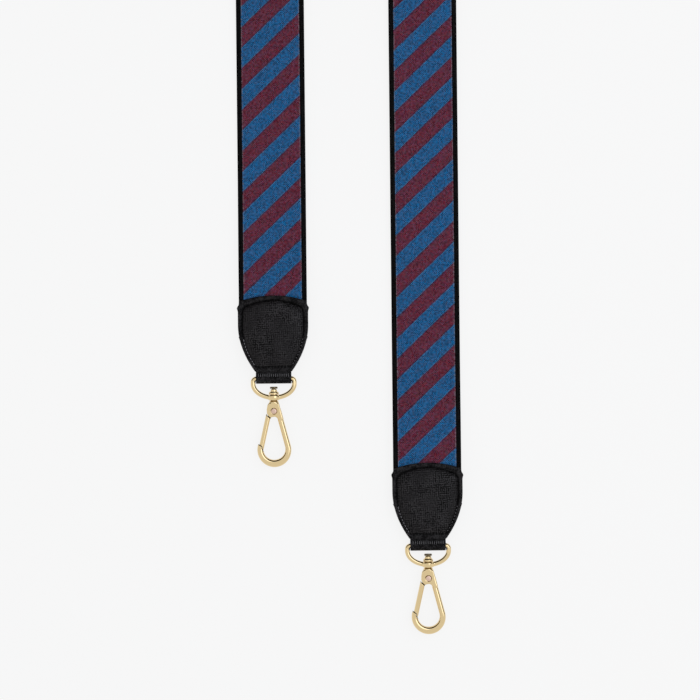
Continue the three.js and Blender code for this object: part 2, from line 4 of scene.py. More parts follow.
import bpy
import numpy as np
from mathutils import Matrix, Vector


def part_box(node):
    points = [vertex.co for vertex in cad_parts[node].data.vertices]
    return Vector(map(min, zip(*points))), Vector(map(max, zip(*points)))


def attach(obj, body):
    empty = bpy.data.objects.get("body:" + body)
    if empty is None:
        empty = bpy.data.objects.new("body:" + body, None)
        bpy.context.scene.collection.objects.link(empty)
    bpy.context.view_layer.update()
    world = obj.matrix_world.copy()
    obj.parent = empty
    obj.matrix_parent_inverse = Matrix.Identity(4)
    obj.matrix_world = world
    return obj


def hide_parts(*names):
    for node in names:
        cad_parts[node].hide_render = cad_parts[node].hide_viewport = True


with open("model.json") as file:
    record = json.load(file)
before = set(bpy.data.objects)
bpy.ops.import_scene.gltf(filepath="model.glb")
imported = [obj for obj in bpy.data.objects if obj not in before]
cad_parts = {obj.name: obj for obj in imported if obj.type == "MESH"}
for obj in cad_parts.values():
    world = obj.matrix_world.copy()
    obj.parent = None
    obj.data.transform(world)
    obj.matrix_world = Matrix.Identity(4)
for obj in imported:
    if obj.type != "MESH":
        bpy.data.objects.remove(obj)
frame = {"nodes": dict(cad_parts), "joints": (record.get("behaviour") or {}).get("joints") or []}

bl_info = {
    "name": "Bag strap",
    "version": (1, 0, 0),
    "blender": (4, 5, 0),
    "location": "3D View > Sidebar > Bag strap",
    "description": "Dresses a detachable bag strap: woven band, padded leather tabs, rings and snap hooks",
    "category": "Object",
}

# PLACES TAKEN FROM THE FRAME

BARS = {j["name"].split("_")[0]: np.array(j["pos_m"]) for j in frame["joints"] if "ring_hinge" in j["name"]}


def from_bar(corners):
    """The two corners of a solid at the right end, measured from its ring bar."""
    return [np.array(corner) - BARS["right"] for corner in corners]


BAND_LOW, BAND_HIGH = (np.array(corner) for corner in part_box("leather_backing"))
TAB_LOW, _ = from_bar(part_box("right_tab_front"))
BACK_LOW, _ = from_bar(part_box("right_tab_back"))
LOOP_LOW, LOOP_HIGH = from_bar(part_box("right_ring_loop"))
RING_LOW, RING_HIGH = from_bar(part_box("right_d_ring"))
UP = np.array([0.0, 0.0, 1.0])

# SMALL SIZES THAT A USER WOULD LEAVE ALONE

PLAY = 0.00005  # between leather and ribbon, and round the foam
SKIN = 0.00003  # between the band and the leather of the tab
NECK_SEAM = 0.0007  # height of the seam's stretch across the neck
RIM_SHARE = 0.12  # share of the way from edge to seam that the round rim of the leather takes
FIELD_ROWS = 44  # rings of points on the padded field
CASTING_STEP = 0.00019  # grid that the ring and the hook are cast in
GATE_STEP = 0.00017  # grid that the gate is cast in
FILLET = 0.0007  # between wire and hub and between arm and head, and at the nose's end
COLLAR_FILLET = 0.0004  # between collar and head
HEAD_EDGE = 0.0006  # round edges of the head
BLADE_EDGE = 0.0003  # round edges of the gate
RECESS_EDGE = 0.0002  # round edges of notch, recess and knuckle
BORE_EDGE = 0.00015  # round edges of bore and slot
HOLE_EDGE = 0.0001  # round edges of the rivet's hole, and corners inside bore and slot
ON_AXIS = 1e-9  # radius below which a profile lies on its axis


# SIZES AND COLOURS THAT A USER WOULD CHANGE

def length(name, default, description):
    return bpy.props.FloatProperty(
        name=name, default=default, description=description, unit="LENGTH", precision=5)


def angle(name, degrees, description):
    return bpy.props.FloatProperty(
        name=name, default=math.radians(degrees), description=description, subtype="ANGLE")


def number(name, default, description):
    return bpy.props.FloatProperty(name=name, default=default, description=description)


def colour(name, default, description):
    return bpy.props.FloatVectorProperty(
        name=name, default=default, description=description, subtype="COLOR", size=3, min=0, max=1)


class BandSettings(bpy.types.PropertyGroup):
    """The woven band and how it lies."""
    thickness: length("Thickness", 0.003, "Thickness of the band, leather and ribbon together")
    backing: length("Backing leather", 0.0009, "Thickness of the back wall")
    lip_width: length("Turned edge", 0.00275, "How far the leather is turned over onto the front")
    lip_leather: length("Turned leather", 0.0005, "Thickness of the turned edge")
    raise_step: length("Ribbon rise", 0.0005, "How far the ribbon rises between the turned edges")
    twist: length("Twist", 0.12, "Length over which each leg turns onto its edge")
    drop_start: length("Drop start", 0.054, "Where the band starts to come down, from the ring bar")
    drop: length("Drop", 0.07, "Length over which the band comes down to the table")
    end: length("Band end", 0.025, "Where the band ends inside the tab, from the ring bar")


class StripeSettings(bpy.types.PropertyGroup):
    """The woven pattern."""
    period: length("Period", 0.0242, "Length of one blue and one maroon stripe along the band")
    slope: number("Slope", 0.951, "Rise of a stripe along the band for each unit across it")
    start: length("Start", 0.00451, "Where the first blue stripe starts on the middle line")
    hidden_extra: length("Hidden extra", 0.01098, "Pattern added in the bend so that both ends match")
    thread: length("Thread pitch", 0.00064, "Width of one woven thread")
    blue: colour("Blue", (0.0028, 0.093, 0.242), "Colour of the blue stripes")
    maroon: colour("Maroon", (0.115, 0.0115, 0.0235), "Colour of the maroon stripes")
    light_line: colour("Light line", (0.05, 0.19, 0.30), "Colour of the line inside each blue stripe")
    dark_line: colour("Dark line", (0.010, 0.006, 0.040), "Colour of the line outside each blue stripe")
    light_thread: colour("Light specks", (0.30, 0.30, 0.33), "Colour of the lightest threads")
    dark_thread: colour("Dark specks", (0.004, 0.003, 0.006), "Colour of the darkest threads")


class TabSettings(bpy.types.PropertyGroup):
    """The leather tab, measured from the ring bar towards the band."""
    neck_half: length("Neck half width", 0.0106, "Half width of the neck")
    neck_start: length("Neck start", 0.004, "Lower edge of the tab")
    half: length("Half width", 0.0206, "Half width of the tab")
    flare: length("Flare", 0.0276, "Length over which the tab widens")
    flare_slope: number("Flare slope", 0.72, "How fast the sides open at the neck")
    side_end: length("Side end", 0.0399, "Where the straight side ends at the ear")
    ear_half: length("Ear half width", 0.0213, "Half width across the ears")
    ear_height: length("Ear height", 0.0416, "Where the ears stand out furthest")
    ear_end: length("Ear end", 0.0435, "Where the ears end at the band")
    corner: length("Corner", 0.0455, "Height of the upper corners")
    peak: length("Peak", 0.0489, "Height of the arched top edge")
    front_leather: length("Front leather", 0.0011, "Thickness of the front leather")
    seam: length("Seam inset", 0.0027, "From the side edge to the seam")
    top_seam: length("Top seam inset", 0.0029, "From the top edge to the seam")
    lower_seam: length("Lower seam", 0.0072, "Height of the seam across the neck")
    field_corner: length("Field corner", 0.005, "Rounding of the field's upper corners")
    groove: length("Groove", 0.0008, "Depth of the seam groove")
    rise: length("Pad rise", 0.0019, "How far the padded field stands above the groove")
    # Painted highlight: along this stretch of the left seam the front thread is drawn pale, standing in for
    # light caught by the black thread.
    highlit_middle: length("Rubbed middle", 0.0155, "Middle of the rubbed part of the left seam")
    highlit_reach: length("Rubbed reach", 0.0078, "How far the rubbed thread reaches from there")
    stitch: length("Stitch", 0.0019, "Length of one stitch from hole to hole")
    leather: colour("Leather", (0.0042, 0.0033, 0.0040), "Colour of the tab's leather")
    edge_leather: colour("Edge leather", (0.0084, 0.0077, 0.0085), "Colour of the tab's rim and the loops")
    band_leather: colour("Band leather", (0.0016, 0.0014, 0.0016), "Colour of the band's leather")
    thread: colour("Thread", (0.003, 0.003, 0.003), "Colour of the black sewing thread")
    # Painted highlights: the pale and grey thread colours stand in for light caught by the black thread,
    # pale on the left seam, grey on the right seam and across the loops.
    worn_thread: colour("Worn thread", (0.17, 0.165, 0.175), "Colour of the thread where it is rubbed")
    grey_thread: colour("Grey thread", (0.11, 0.108, 0.115), "Colour of the thread where it is greyed")


class RingSettings(bpy.types.PropertyGroup):
    """The leather loop, the D-ring and the swivel."""
    loop_leather: length("Loop leather", 0.0012, "Thickness of the loop")
    loop_gap: length("Loop gap", 0.0006, "Gap between the loop's two legs")
    loop_mouth: length("Loop mouth", 0.004, "Where the legs part, from the bar")
    wire: length("Wire", 0.0028, "Thickness of the ring's wire")
    half: length("Half width", 0.0121, "Half width of the ring, to the middle of the wire")
    corner: length("Corner", 0.0018, "Radius of the corners beside the bar")
    side: length("Side", 0.0012, "Straight length below each corner")
    bow: length("Bow", 0.0081, "Drop of the bow below the sides")
    hub: length("Hub", 0.0034, "Radius of the hub")
    hub_foot: length("Hub foot", 0.0028, "Radius of the hub's lower end")
    hub_top: length("Hub top", 0.0094, "Top of the hub below the bar")
    hub_height: length("Hub height", 0.0034, "Height of the hub")
    rim: length("Rim", 0.0006, "Rounding of the hub, washer and cap")
    shank: length("Shank", 0.0019, "Radius of the hook's shank")
    fit: length("Fit", 0.0003, "Clearance between turning parts")
    washer: length("Washer", 0.00295, "Radius of the washer")
    washer_height: length("Washer height", 0.0015, "Thickness of the washer")
    neck: length("Neck", 0.0014, "Shank between washer and cap")
    cap: length("Cap", 0.0023, "Radius of the cap")
    cap_height: length("Cap height", 0.0012, "Height of the cap")
    spigot: length("Spigot", 0.001, "Radius of the spigot in the cap")
    spigot_height: length("Spigot height", 0.0006, "Height of the spigot in the cap")


class HookSettings(bpy.types.PropertyGroup):
    """The snap hook, measured from the ring bar."""
    collar: length("Collar", 0.00285, "Radius of the collar")
    collar_height: length("Collar height", 0.0011, "Height of the collar")
    pivot: length("Rivet drop", 0.01905, "From the bar to the rivet")
    thickness: length("Thickness", 0.005, "Thickness of the head")
    arm_thickness: length("Arm thickness", 0.0044, "Thickness of arm and bow")
    arm_half: length("Arm half width", 0.00165, "Half width of the arm")
    arm_steps: number("Arm share", 0.083, "Share of the swelling that lies on the straight arm")
    bow_half: length("Bow half width", 0.0022, "Half width at the bottom of the bow")
    nose_half: length("Nose half width", 0.0018, "Half width of the nose")
    bow: length("Bow radius", 0.0082, "Radius of the bow, to the middle of the bar")
    bow_drop: length("Bow drop", 0.0416, "From the bar to the middle of the bow")
    lean: angle("Arm lean", 14.8, "Lean of the arm")
    nose: angle("Nose", 158, "Where the nose ends round the bow")
    bevel: length("Head bevel", 0.0005, "Step of the head's corners")
    head_half: length("Head half width", 0.0042, "Half width of the head")
    cheek: length("Cheek", 0.0043, "Radius of the cheek round the rivet")
    slot: length("Slot", 0.003, "Width of the slot for the gate")
    slot_radius: length("Slot radius", 0.0029, "Radius of the slot round the rivet")
    gate_root: length("Gate root", 0.0048, "Radius at which the gate starts")
    gate_thickness: length("Gate thickness", 0.0042, "Thickness of the gate")
    gate_width: length("Gate width", 0.0031, "Width of the gate")
    gate_lean: angle("Gate lean", 12.8, "Lean of the closed gate")
    gate_offset: length("Gate offset", 0.00266, "From the pivot's line to the middle of the gate")
    gate_length: length("Gate length", 0.021, "From the pivot to the gate's end")
    gate_horn: angle("Gate horn", 4, "How far the gate's root runs past its outer side")
    knuckle: length("Knuckle", 0.0026, "Radius of the knuckle")
    knuckle_thickness: length("Knuckle thickness", 0.0013, "Thickness of the knuckle")
    tongue: length("Tongue", 0.0011, "Width of the tongue")
    tongue_length: length("Tongue length", 0.0029, "Length of the tongue")
    gate_drop: length("Gate end drop", 0.0009, "Drop of the gate's slanting end towards the tongue")
    rivet: length("Rivet", 0.0008, "Radius of the rivet")
    rivet_head: length("Rivet head", 0.0016, "Radius of the rivet's heads")
    rivet_rise: length("Rivet rise", 0.00045, "Height of the rivet's heads")
    counterbore: length("Counterbore", 0.0005, "Depth of the recess round the rivet")
    spring_wire: length("Spring wire", 0.0005, "Thickness of the spring")
    spring: length("Spring", 0.0015, "Radius of the spring")
    spring_leg: length("Spring leg", 0.0029, "Reach of the spring's lower leg")
    gold: colour("Gold", (0.79, 0.618, 0.345), "Colour of the polished metal")
    steel: colour("Steel", (0.42, 0.42, 0.43), "Colour of the spring")
    rivet_colour: colour("Rivet colour", (0.72, 0.52, 0.42), "Colour of the rivet's heads")


class StageSettings(bpy.types.PropertyGroup):
    """Camera, lights and floor."""
    view_width: length("View width", 0.4116, "Width that the camera sees on the table")
    aim: length("Aim", -0.11423, "Place along the legs that the camera looks at")
    aside: length("Aside", 0.0002, "Place across the legs that the camera looks at")
    roll: angle("Roll", -0.6, "Turn of the camera about its own line of sight")
    lens: number("Lens", 100.0, "Focal length of the camera in millimetres")
    backdrop: number("Backdrop", 0.943, "Brightness of floor and background in the picture")
    sky: number("Sky", 0.74, "Brightness of the light from all round")
    key: number("Key", 3.4, "Power of the softbox at the upper right, in watts")


# MESH HELPERS

def new_piece(name, points, faces, body, material, corner_uv=None, crease=40.0):
    """Puts points and faces into a closed mesh that faces outwards: if the sum of the signed tetrahedra
    from the origin to every face is negative, each face is turned round."""
    volume = 0.0
    for block in faces:
        corners = points[block]
        for k in range(1, block.shape[1] - 1):
            volume += np.einsum("ij,ij->", corners[:, 0], np.cross(corners[:, k], corners[:, k + 1]))
    if volume < 0:
        faces = [block[:, ::-1] for block in faces]
        corner_uv = None if corner_uv is None else [block[:, ::-1] for block in corner_uv]
    mesh = bpy.data.meshes.new(name)
    mesh.from_pydata(points.tolist(), [], [face for block in faces for face in block.tolist()])
    mesh.polygons.foreach_set("use_smooth", np.ones(len(mesh.polygons), bool))
    mesh.set_sharp_from_angle(angle=math.radians(crease))
    if corner_uv is not None:
        layer = mesh.uv_layers.new(name="strap")
        layer.data.foreach_set("uv", np.concatenate([block.reshape(-1) for block in corner_uv]))
    mesh.materials.append(material)
    piece = bpy.data.objects.new(name, mesh)
    bpy.context.scene.collection.objects.link(piece)
    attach(piece, body)
    return piece


def dress_faces(piece, materials, kind):
    """Adds materials to a piece. kind has the number of the material of each face, from 0 for the first."""
    for material in materials:
        piece.data.materials.append(material)
    piece.data.polygons.foreach_set("material_index", kind.astype(np.int32))


def run_of(line):
    """Length run along a line of points, from its start to each point."""
    return np.concatenate([[0], np.cumsum(np.linalg.norm(np.diff(line, axis=0), axis=1))])


def unit(rows):
    """Each row divided by its length."""
    return rows / np.linalg.norm(rows, axis=1)[:, None]


def grid_faces(rows, columns, loop=False):
    """Quads of a grid of points whose last column joins the first, and with loop the last row too."""
    index = np.arange(rows * columns).reshape(rows, columns)
    index = np.concatenate([index, index[:, :1]], 1)
    if loop:
        index = np.concatenate([index, index[:1]], 0)
    return np.stack([index[:-1, :-1], index[:-1, 1:], index[1:, 1:], index[1:, :-1]], -1).reshape(-1, 4)


def swept(grid, loop=False):
    """Points and faces of a tube from grid[row, column], with a flat face closing each open end."""
    rows, columns = grid.shape[:2]
    faces = [grid_faces(rows, columns, loop=loop)]
    if not loop:
        ring = np.arange(columns)
        faces.append(np.stack([ring[::-1], ring + (rows - 1) * columns]))
    return grid.reshape(-1, 3), faces


def capped(grid, first, last):
    """Points and faces of a tube from grid[row, column], closed by a fan to one point at each end."""
    rows, columns = grid.shape[:2]
    ring = np.arange(columns)
    after = np.roll(ring, -1)
    end = (rows - 1) * columns
    faces = [
        grid_faces(rows, columns),
        np.stack([after, ring, np.full(columns, rows * columns)], -1),
        np.stack([end + ring, end + after, np.full(columns, rows * columns + 1)], -1)]
    return np.concatenate([grid.reshape(-1, 3), [first], [last]]), faces


def swept_uv(around, along):
    """Face-corner coordinates for swept(): along the section and along the path, in metres."""
    u, v = np.meshgrid(around, along)
    uv = np.stack([u, v], -1)
    quads = np.stack([uv[:-1, :-1], uv[:-1, 1:], uv[1:, 1:], uv[1:, :-1]], -2).reshape(-1, 4, 2)
    caps = np.stack([uv[0, :-1][::-1], uv[-1, :-1]])
    return [quads, caps]


def carried(section, centres, across, out):
    """A section of [across, out] pairs carried through stations: centre + a * across + o * out."""
    a, o = section[..., 0, None], section[..., 1, None]
    return centres[:, None] + a * across[:, None] + o * out[:, None]


def turned(profile, sides=64):
    """A profile of [radius, height] pairs turned about the Y axis: a closed ring, or a solid closed by a
    point where the profile starts and ends on the axis."""
    turn = np.linspace(0, 2 * math.pi, sides, endpoint=False)
    radius, height = np.array(profile).T
    off_axis = radius >= ON_AXIS
    rings = radius[off_axis][:, None]
    x = rings * np.cos(turn)
    y = np.broadcast_to(height[off_axis][:, None], x.shape)
    grid = np.stack([x, y, rings * np.sin(turn)], -1)
    if off_axis.all():
        return swept(grid, loop=True)
    return capped(grid, [0, height[0], 0], [0, height[-1], 0])


def rounded_profile(corners, radius, steps=5):
    """A profile whose inner corners are rounded by quadratic arcs that start radius before each corner."""
    corners = [np.array(corner, float) for corner in corners]
    line = [corners[0]]
    t = np.linspace(0, 1, steps)[:, None]
    for before, corner, after in zip(corners, corners[1:], corners[2:]):
        reach_in = min(radius, 0.5 * np.linalg.norm(corner - before))
        reach_out = min(radius, 0.5 * np.linalg.norm(after - corner))
        start = corner + (before - corner) / np.linalg.norm(before - corner) * reach_in
        stop = corner + (after - corner) / np.linalg.norm(after - corner) * reach_out
        line.extend((1 - t) ** 2 * start + 2 * t * (1 - t) * corner + t ** 2 * stop)
    line.append(corners[-1])
    return np.array(line)


def smooth(u):
    """0 below 0, 1 above 1, and 3u^2 - 2u^3 between."""
    u = np.clip(u, 0, 1)
    return u * u * (3 - 2 * u)


# CASTINGS: solids given by a field that is negative inside

def casting(field, low, high, step=CASTING_STEP, rounds=3):
    """Points and faces of the surface where field(x, y, z) is zero. Each grid cell that the field changes
    sign in gets a point at the mean of its edges' crossings, each crossing edge joins its four cells by a
    face, and the points are evened out and moved along the field's slope onto its zero."""
    axes = [np.arange(low[i] - 2 * step, high[i] + 3 * step, step) for i in range(3)]
    value = field(axes[0][:, None, None], axes[1][None, :, None], axes[2][None, None, :])
    value = np.broadcast_to(value, [len(axis) for axis in axes])
    cells = np.array(value.shape) - 1
    weights = np.array([cells[1] * cells[2], cells[2], 1])
    keys, places, rings = [], [], []
    for axis in range(3):
        lower = [slice(None)] * 3
        upper = [slice(None)] * 3
        lower[axis], upper[axis] = slice(0, -1), slice(1, None)
        a, b = value[tuple(lower)], value[tuple(upper)]
        at = np.argwhere((a < 0) != (b < 0))
        start, stop = a[tuple(at.T)], b[tuple(at.T)]
        crossing = at.astype(float)
        crossing[:, axis] += start / (start - stop)
        second, third = np.eye(3, dtype=int)[(axis + 1) % 3], np.eye(3, dtype=int)[(axis + 2) % 3]
        around = [at, at - second, at - second - third, at - third]
        ring = np.stack([cell @ weights for cell in around], -1)
        rings.append(np.where((start < 0)[:, None], ring, ring[:, ::-1]))
        keys.extend(cell @ weights for cell in around)
        places.extend([crossing] * 4)
    keys, places = np.concatenate(keys), np.concatenate(places)
    names, index = np.unique(keys, return_inverse=True)
    count = np.bincount(index)
    mean = np.stack([np.bincount(index, places[:, k]) / count for k in range(3)], -1)
    points = np.array([axis[0] for axis in axes]) + mean * step
    faces = np.searchsorted(names, np.concatenate(rings))
    ends = np.concatenate([faces[:, [k, (k + 1) % 4]] for k in range(4)])
    degree = np.bincount(ends[:, 0], minlength=len(points)) + np.bincount(ends[:, 1], minlength=len(points))
    for _ in range(rounds):
        pull = np.stack([
            np.bincount(ends[:, 0], points[ends[:, 1], k], len(points))
            + np.bincount(ends[:, 1], points[ends[:, 0], k], len(points)) for k in range(3)], -1)
        points = 0.5 * points + 0.5 * pull / degree[:, None]
        for _ in range(2):
            points = onto_zero(field, points, step)
    return points, [faces]


def onto_zero(field, points, step):
    """Moves each point by -f * slope / slope^2, at most one step. The slope comes from central
    differences."""
    reach = step * 0.05
    here = field(*points.T)
    slope = np.stack([
        (field(*(points + reach * axis).T) - field(*(points - reach * axis).T)) / (2 * reach)
        for axis in np.eye(3)], -1)
    move = -here[:, None] * slope / np.maximum((slope ** 2).sum(-1), 0.05)[:, None]
    far = np.linalg.norm(move, axis=-1)[:, None]
    return points + move * np.minimum(1, step / np.maximum(far, 1e-12))


def join(a, b, blend):
    """Union of two fields with a fillet: the smaller one, less h^2 * blend / 4, where h goes from 1 to 0
    as their difference goes from 0 to blend."""
    h = np.maximum(blend - np.abs(a - b), 0) / blend
    return np.minimum(a, b) - h * h * blend / 4


def cut(a, b, blend):
    """Field a without field b, with the new edge rounded by blend."""
    return -join(-a, b, blend)


def outline_distance(x, y, outline):
    """Signed distance in a plane to a closed outline: the least distance to its edges, negative inside,
    where a ray crosses the outline an odd number of times."""
    nearest = np.full(np.broadcast(x, y).shape, np.inf)
    inside = np.zeros(nearest.shape, bool)
    for (ax, ay), (bx, by) in zip(outline, np.roll(outline, -1, 0)):
        dx, dy = bx - ax, by - ay
        t = np.clip(((x - ax) * dx + (y - ay) * dy) / max(dx * dx + dy * dy, 1e-18), 0, 1)
        nearest = np.minimum(nearest, (x - ax - t * dx) ** 2 + (y - ay - t * dy) ** 2)
        if dy:
            inside ^= ((ay > y) != (by > y)) & (x < ax + (y - ay) * dx / dy)
    return np.where(inside, -1, 1) * np.sqrt(nearest)


def slab(flat, z, half, edge):
    """A plane field given a thickness: both distances meet in an edge rounded by edge."""
    a = flat + edge
    b = np.abs(z) - half + edge
    return np.sqrt(np.maximum(a, 0) ** 2 + np.maximum(b, 0) ** 2) + np.minimum(np.maximum(a, b), 0) - edge


def arc(centre, radius_x, radius_y, start, stop, count):
    """Points on part of an oval, from one angle in degrees to another."""
    turn = np.radians(np.linspace(start, stop, count))
    return np.stack([centre[0] + radius_x * np.cos(turn), centre[1] + radius_y * np.sin(turn)], -1)


def both_sides(profile):
    """A turned profile as a closed outline across its axis."""
    return np.concatenate([profile, profile[-2:0:-1] * [-1, 1]])


# STITCHES

def stitches(centres, along, up, stitch, thickness, height):
    """Threads sewn in a row. Each one is a round thread whose line runs from hole to hole and rises by
    height * sin(pi t) above the leather, thinner where it goes in."""
    sunk, thin = 0.25, 0.55
    t = np.linspace(0, 1, 7)
    turn = np.linspace(0, 2 * math.pi, 6, endpoint=False)
    side = np.cross(along, up)
    line = (centres[:, None] + along[:, None] * ((t - 0.5) * stitch)[:, None]
            + up[:, None] * (height * np.sin(math.pi * t) - thickness * sunk)[:, None])
    radius = 0.5 * thickness * (thin + (1 - thin) * np.sin(math.pi * t))
    grid = (line[:, :, None]
            + side[:, None, None] * (radius[:, None] * np.cos(turn))[..., None]
            + up[:, None, None] * (radius[:, None] * np.sin(turn))[..., None])
    count = len(centres)
    first = (np.arange(count) * t.size * turn.size)[:, None, None]
    ring = np.arange(turn.size)
    caps = np.stack([ring[::-1], ring + (t.size - 1) * turn.size])
    quads = grid_faces(t.size, turn.size)
    return grid.reshape(-1, 3), [(quads + first).reshape(-1, 4), (caps + first).reshape(-1, turn.size)]


def read_evenly(line, values, pitch, offset=0):
    """Values given at a line's points, read at places about pitch apart along it, each moved by offset."""
    run = run_of(line)
    count = max(2, round(run[-1] / pitch))
    at = (np.arange(count) + 0.5) * run[-1] / count + offset
    return np.stack([np.interp(at, run, column) for column in values.T], -1)


def evenly(line, pitch, closed=False):
    """Places at even distances along a line of points, with the direction of the line there."""
    line = np.concatenate([line, line[:1]]) if closed else line
    reach = pitch * 0.3
    ahead = read_evenly(line, line, pitch, reach)
    return read_evenly(line, line, pitch), unit(ahead - read_evenly(line, line, pitch, -reach))


# MATERIALS

class Term:
    """A number worked out by nodes: sums, products and functions of Terms add Math nodes."""

    def __init__(self, tree, socket):
        self.tree = tree
        self.socket = socket

    def math(self, operation, *others):
        node = self.tree.nodes.new("ShaderNodeMath")
        node.operation = operation
        for slot, value in zip(node.inputs, (self, *others)):
            plug(self.tree, slot, value)
        return Term(self.tree, node.outputs[0])

    def __add__(self, other):
        return self.math("ADD", other)

    def __sub__(self, other):
        return self.math("SUBTRACT", other)

    def __mul__(self, other):
        return self.math("MULTIPLY", other)

    def __truediv__(self, other):
        return self.math("DIVIDE", other)

    def ramp(self, low, high):
        """0 below low, 1 above high, smooth between."""
        node = self.tree.nodes.new("ShaderNodeMapRange")
        node.interpolation_type = "SMOOTHSTEP"
        plug(self.tree, node.inputs["Value"], self)
        node.inputs["From Min"].default_value = low
        node.inputs["From Max"].default_value = high
        return Term(self.tree, node.outputs["Result"])

    def band(self, low, high, soft):
        """1 between low and high, falling to 0 over soft on each side."""
        return self.ramp(low - soft, low + soft) * (self.ramp(high - soft, high + soft) * -1 + 1)


def plug(tree, slot, value):
    """Feeds a node's input: with a Term, with another node's output, or with a fixed value."""
    if isinstance(value, Term):
        tree.links.new(value.socket, slot)
    elif isinstance(value, bpy.types.NodeSocket):
        tree.links.new(value, slot)
    else:
        slot.default_value = value


def new_material(name):
    material = bpy.data.materials.new(name)
    material.use_nodes = True
    tree = material.node_tree
    return material, tree, tree.nodes["Principled BSDF"]


def coordinates(tree, uv=False):
    """Object coordinates, or the piece's own map."""
    source = tree.nodes.new("ShaderNodeUVMap" if uv else "ShaderNodeTexCoord")
    if uv:
        source.uv_map = "strap"
    return source.outputs["UV" if uv else "Object"]


def axis_terms(tree, vector):
    split = tree.nodes.new("ShaderNodeSeparateXYZ")
    tree.links.new(vector, split.inputs[0])
    return [Term(tree, split.outputs[k]) for k in range(3)]


def noise(tree, vector, scale, detail=2.0, roughness=0.5):
    node = tree.nodes.new("ShaderNodeTexNoise")
    tree.links.new(vector, node.inputs["Vector"])
    node.inputs["Scale"].default_value = scale
    node.inputs["Detail"].default_value = detail
    node.inputs["Roughness"].default_value = roughness
    return Term(tree, node.outputs["Fac"])


def mixed(tree, share, first, second):
    """Colour that goes from first to second with share."""
    node = tree.nodes.new("ShaderNodeMix")
    node.data_type = "RGBA"
    plug(tree, node.inputs[0], share)
    for k, value in ((6, first), (7, second)):
        plug(tree, node.inputs[k], value if isinstance(value, bpy.types.NodeSocket) else (*value, 1))
    return node.outputs[2]


def scaled(base, factor):
    """A colour made darker or lighter."""
    return tuple(min(1, c * factor) for c in base)


def shaded(tree, shader, share, base, dark, light):
    """Base colour that goes from dark times base to light times base with share."""
    plug(tree, shader.inputs["Base Color"], mixed(tree, share, scaled(base, dark), scaled(base, light)))


def surfaced(tree, shader, roughness, shine, height, depth):
    """Roughness, shine and a bump whose height from 0 to 1 stands for depth metres."""
    plug(tree, shader.inputs["Roughness"], roughness)
    plug(tree, shader.inputs["Specular IOR Level"], shine)
    node = tree.nodes.new("ShaderNodeBump")
    node.inputs["Distance"].default_value = depth
    tree.links.new(height.socket, node.inputs["Height"])
    tree.links.new(node.outputs[0], shader.inputs["Normal"])


def white_noise(tree, x, y):
    """A number from 0 to 1 drawn for each whole-numbered place."""
    place = tree.nodes.new("ShaderNodeCombineXYZ")
    plug(tree, place.inputs[0], x)
    plug(tree, place.inputs[1], y)
    grain = tree.nodes.new("ShaderNodeTexWhiteNoise")
    grain.noise_dimensions = "2D"
    tree.links.new(place.outputs[0], grain.inputs["Vector"])
    return Term(tree, grain.outputs["Value"])


def woven_cloth(stripes, half_width):
    """Jacquard weave. Each half thread has the colour of the stripe that it lies in. Threads lie over and
    under their neighbours in turn, like the fields of a chessboard, and some are lighter or darker by
    chance. Here and there a thread of the other colour or a grey one comes through, more often at the
    turned edges."""
    sharp = (0.00003, 0.00013)
    light_line, light_share = (0.0001, 0.0005, 0.0001), 0.3
    dark_line, dark_share = (-0.0005, -0.00005, 0.0001), 0.7
    edge = (half_width - 0.0009, half_width - 0.0005)
    chance, seldom = 0.6, (0.2, 1.0)
    other_draw, other_share = 71, 0.14
    grey_draw, grey_share, edge_share = 53, 0.08, 0.35
    under, over = 0.85, 1.82
    material, tree, shader = new_material("woven_cloth")
    across, along, _ = axis_terms(tree, coordinates(tree, uv=True))
    warp, weft = across / stripes.thread, along / stripes.thread
    cell_across, cell_along = warp.math("FLOOR"), weft.math("FLOOR")
    half_thread = stripes.thread / 2
    step_across = (across / half_thread).math("FLOOR") * half_thread
    step_along = (along / half_thread).math("FLOOR") * half_thread
    phase = (step_along - step_across * stripes.slope - stripes.start) / stripes.period
    from_middle = (phase.math("FRACT") - 0.25).math("ABSOLUTE")
    from_next = (phase.math("FRACT") * -1 + 1.25).math("ABSOLUTE")
    square = stripes.period / math.sqrt(1 + stripes.slope ** 2)
    depth = (from_middle.math("MINIMUM", from_next) * -1 + 0.25) * square
    inside = depth.ramp(*sharp)
    thread = mixed(tree, inside, stripes.maroon, stripes.blue)
    other = mixed(tree, inside, stripes.blue, stripes.maroon)
    thread = mixed(tree, depth.band(*light_line) * light_share, thread, stripes.light_line)
    thread = mixed(tree, depth.band(*dark_line) * dark_share, thread, stripes.dark_line)
    single = white_noise(tree, cell_across, cell_along)
    chessboard = ((cell_across + cell_along) / 2).math("FRACT") * 2
    showing = white_noise(tree, cell_across + other_draw, cell_along)
    grey = white_noise(tree, cell_across, cell_along + grey_draw)
    level = single * chance + chessboard * (1 - chance)
    at_edge = across.math("ABSOLUTE").ramp(*edge)
    thread = mixed(tree, showing.ramp(*seldom) * other_share, thread, other)
    dark = mixed(tree, under, thread, stripes.dark_thread)
    bright = tree.nodes.new("ShaderNodeVectorMath")
    bright.operation = "SCALE"
    tree.links.new(thread, bright.inputs[0])
    bright.inputs["Scale"].default_value = over
    thread = mixed(tree, level, dark, bright.outputs[0])
    lighter = grey.ramp(*seldom) * grey_share + at_edge * grey * edge_share
    plug(tree, shader.inputs["Base Color"], mixed(tree, lighter, thread, stripes.light_thread))
    rib = (warp.math("FRACT") * math.pi).math("SINE") * (weft.math("FRACT") * math.pi).math("SINE")
    surfaced(tree, shader, 0.85, 0.08, rib * 0.7 + level * 0.5, 0.00015)
    return material


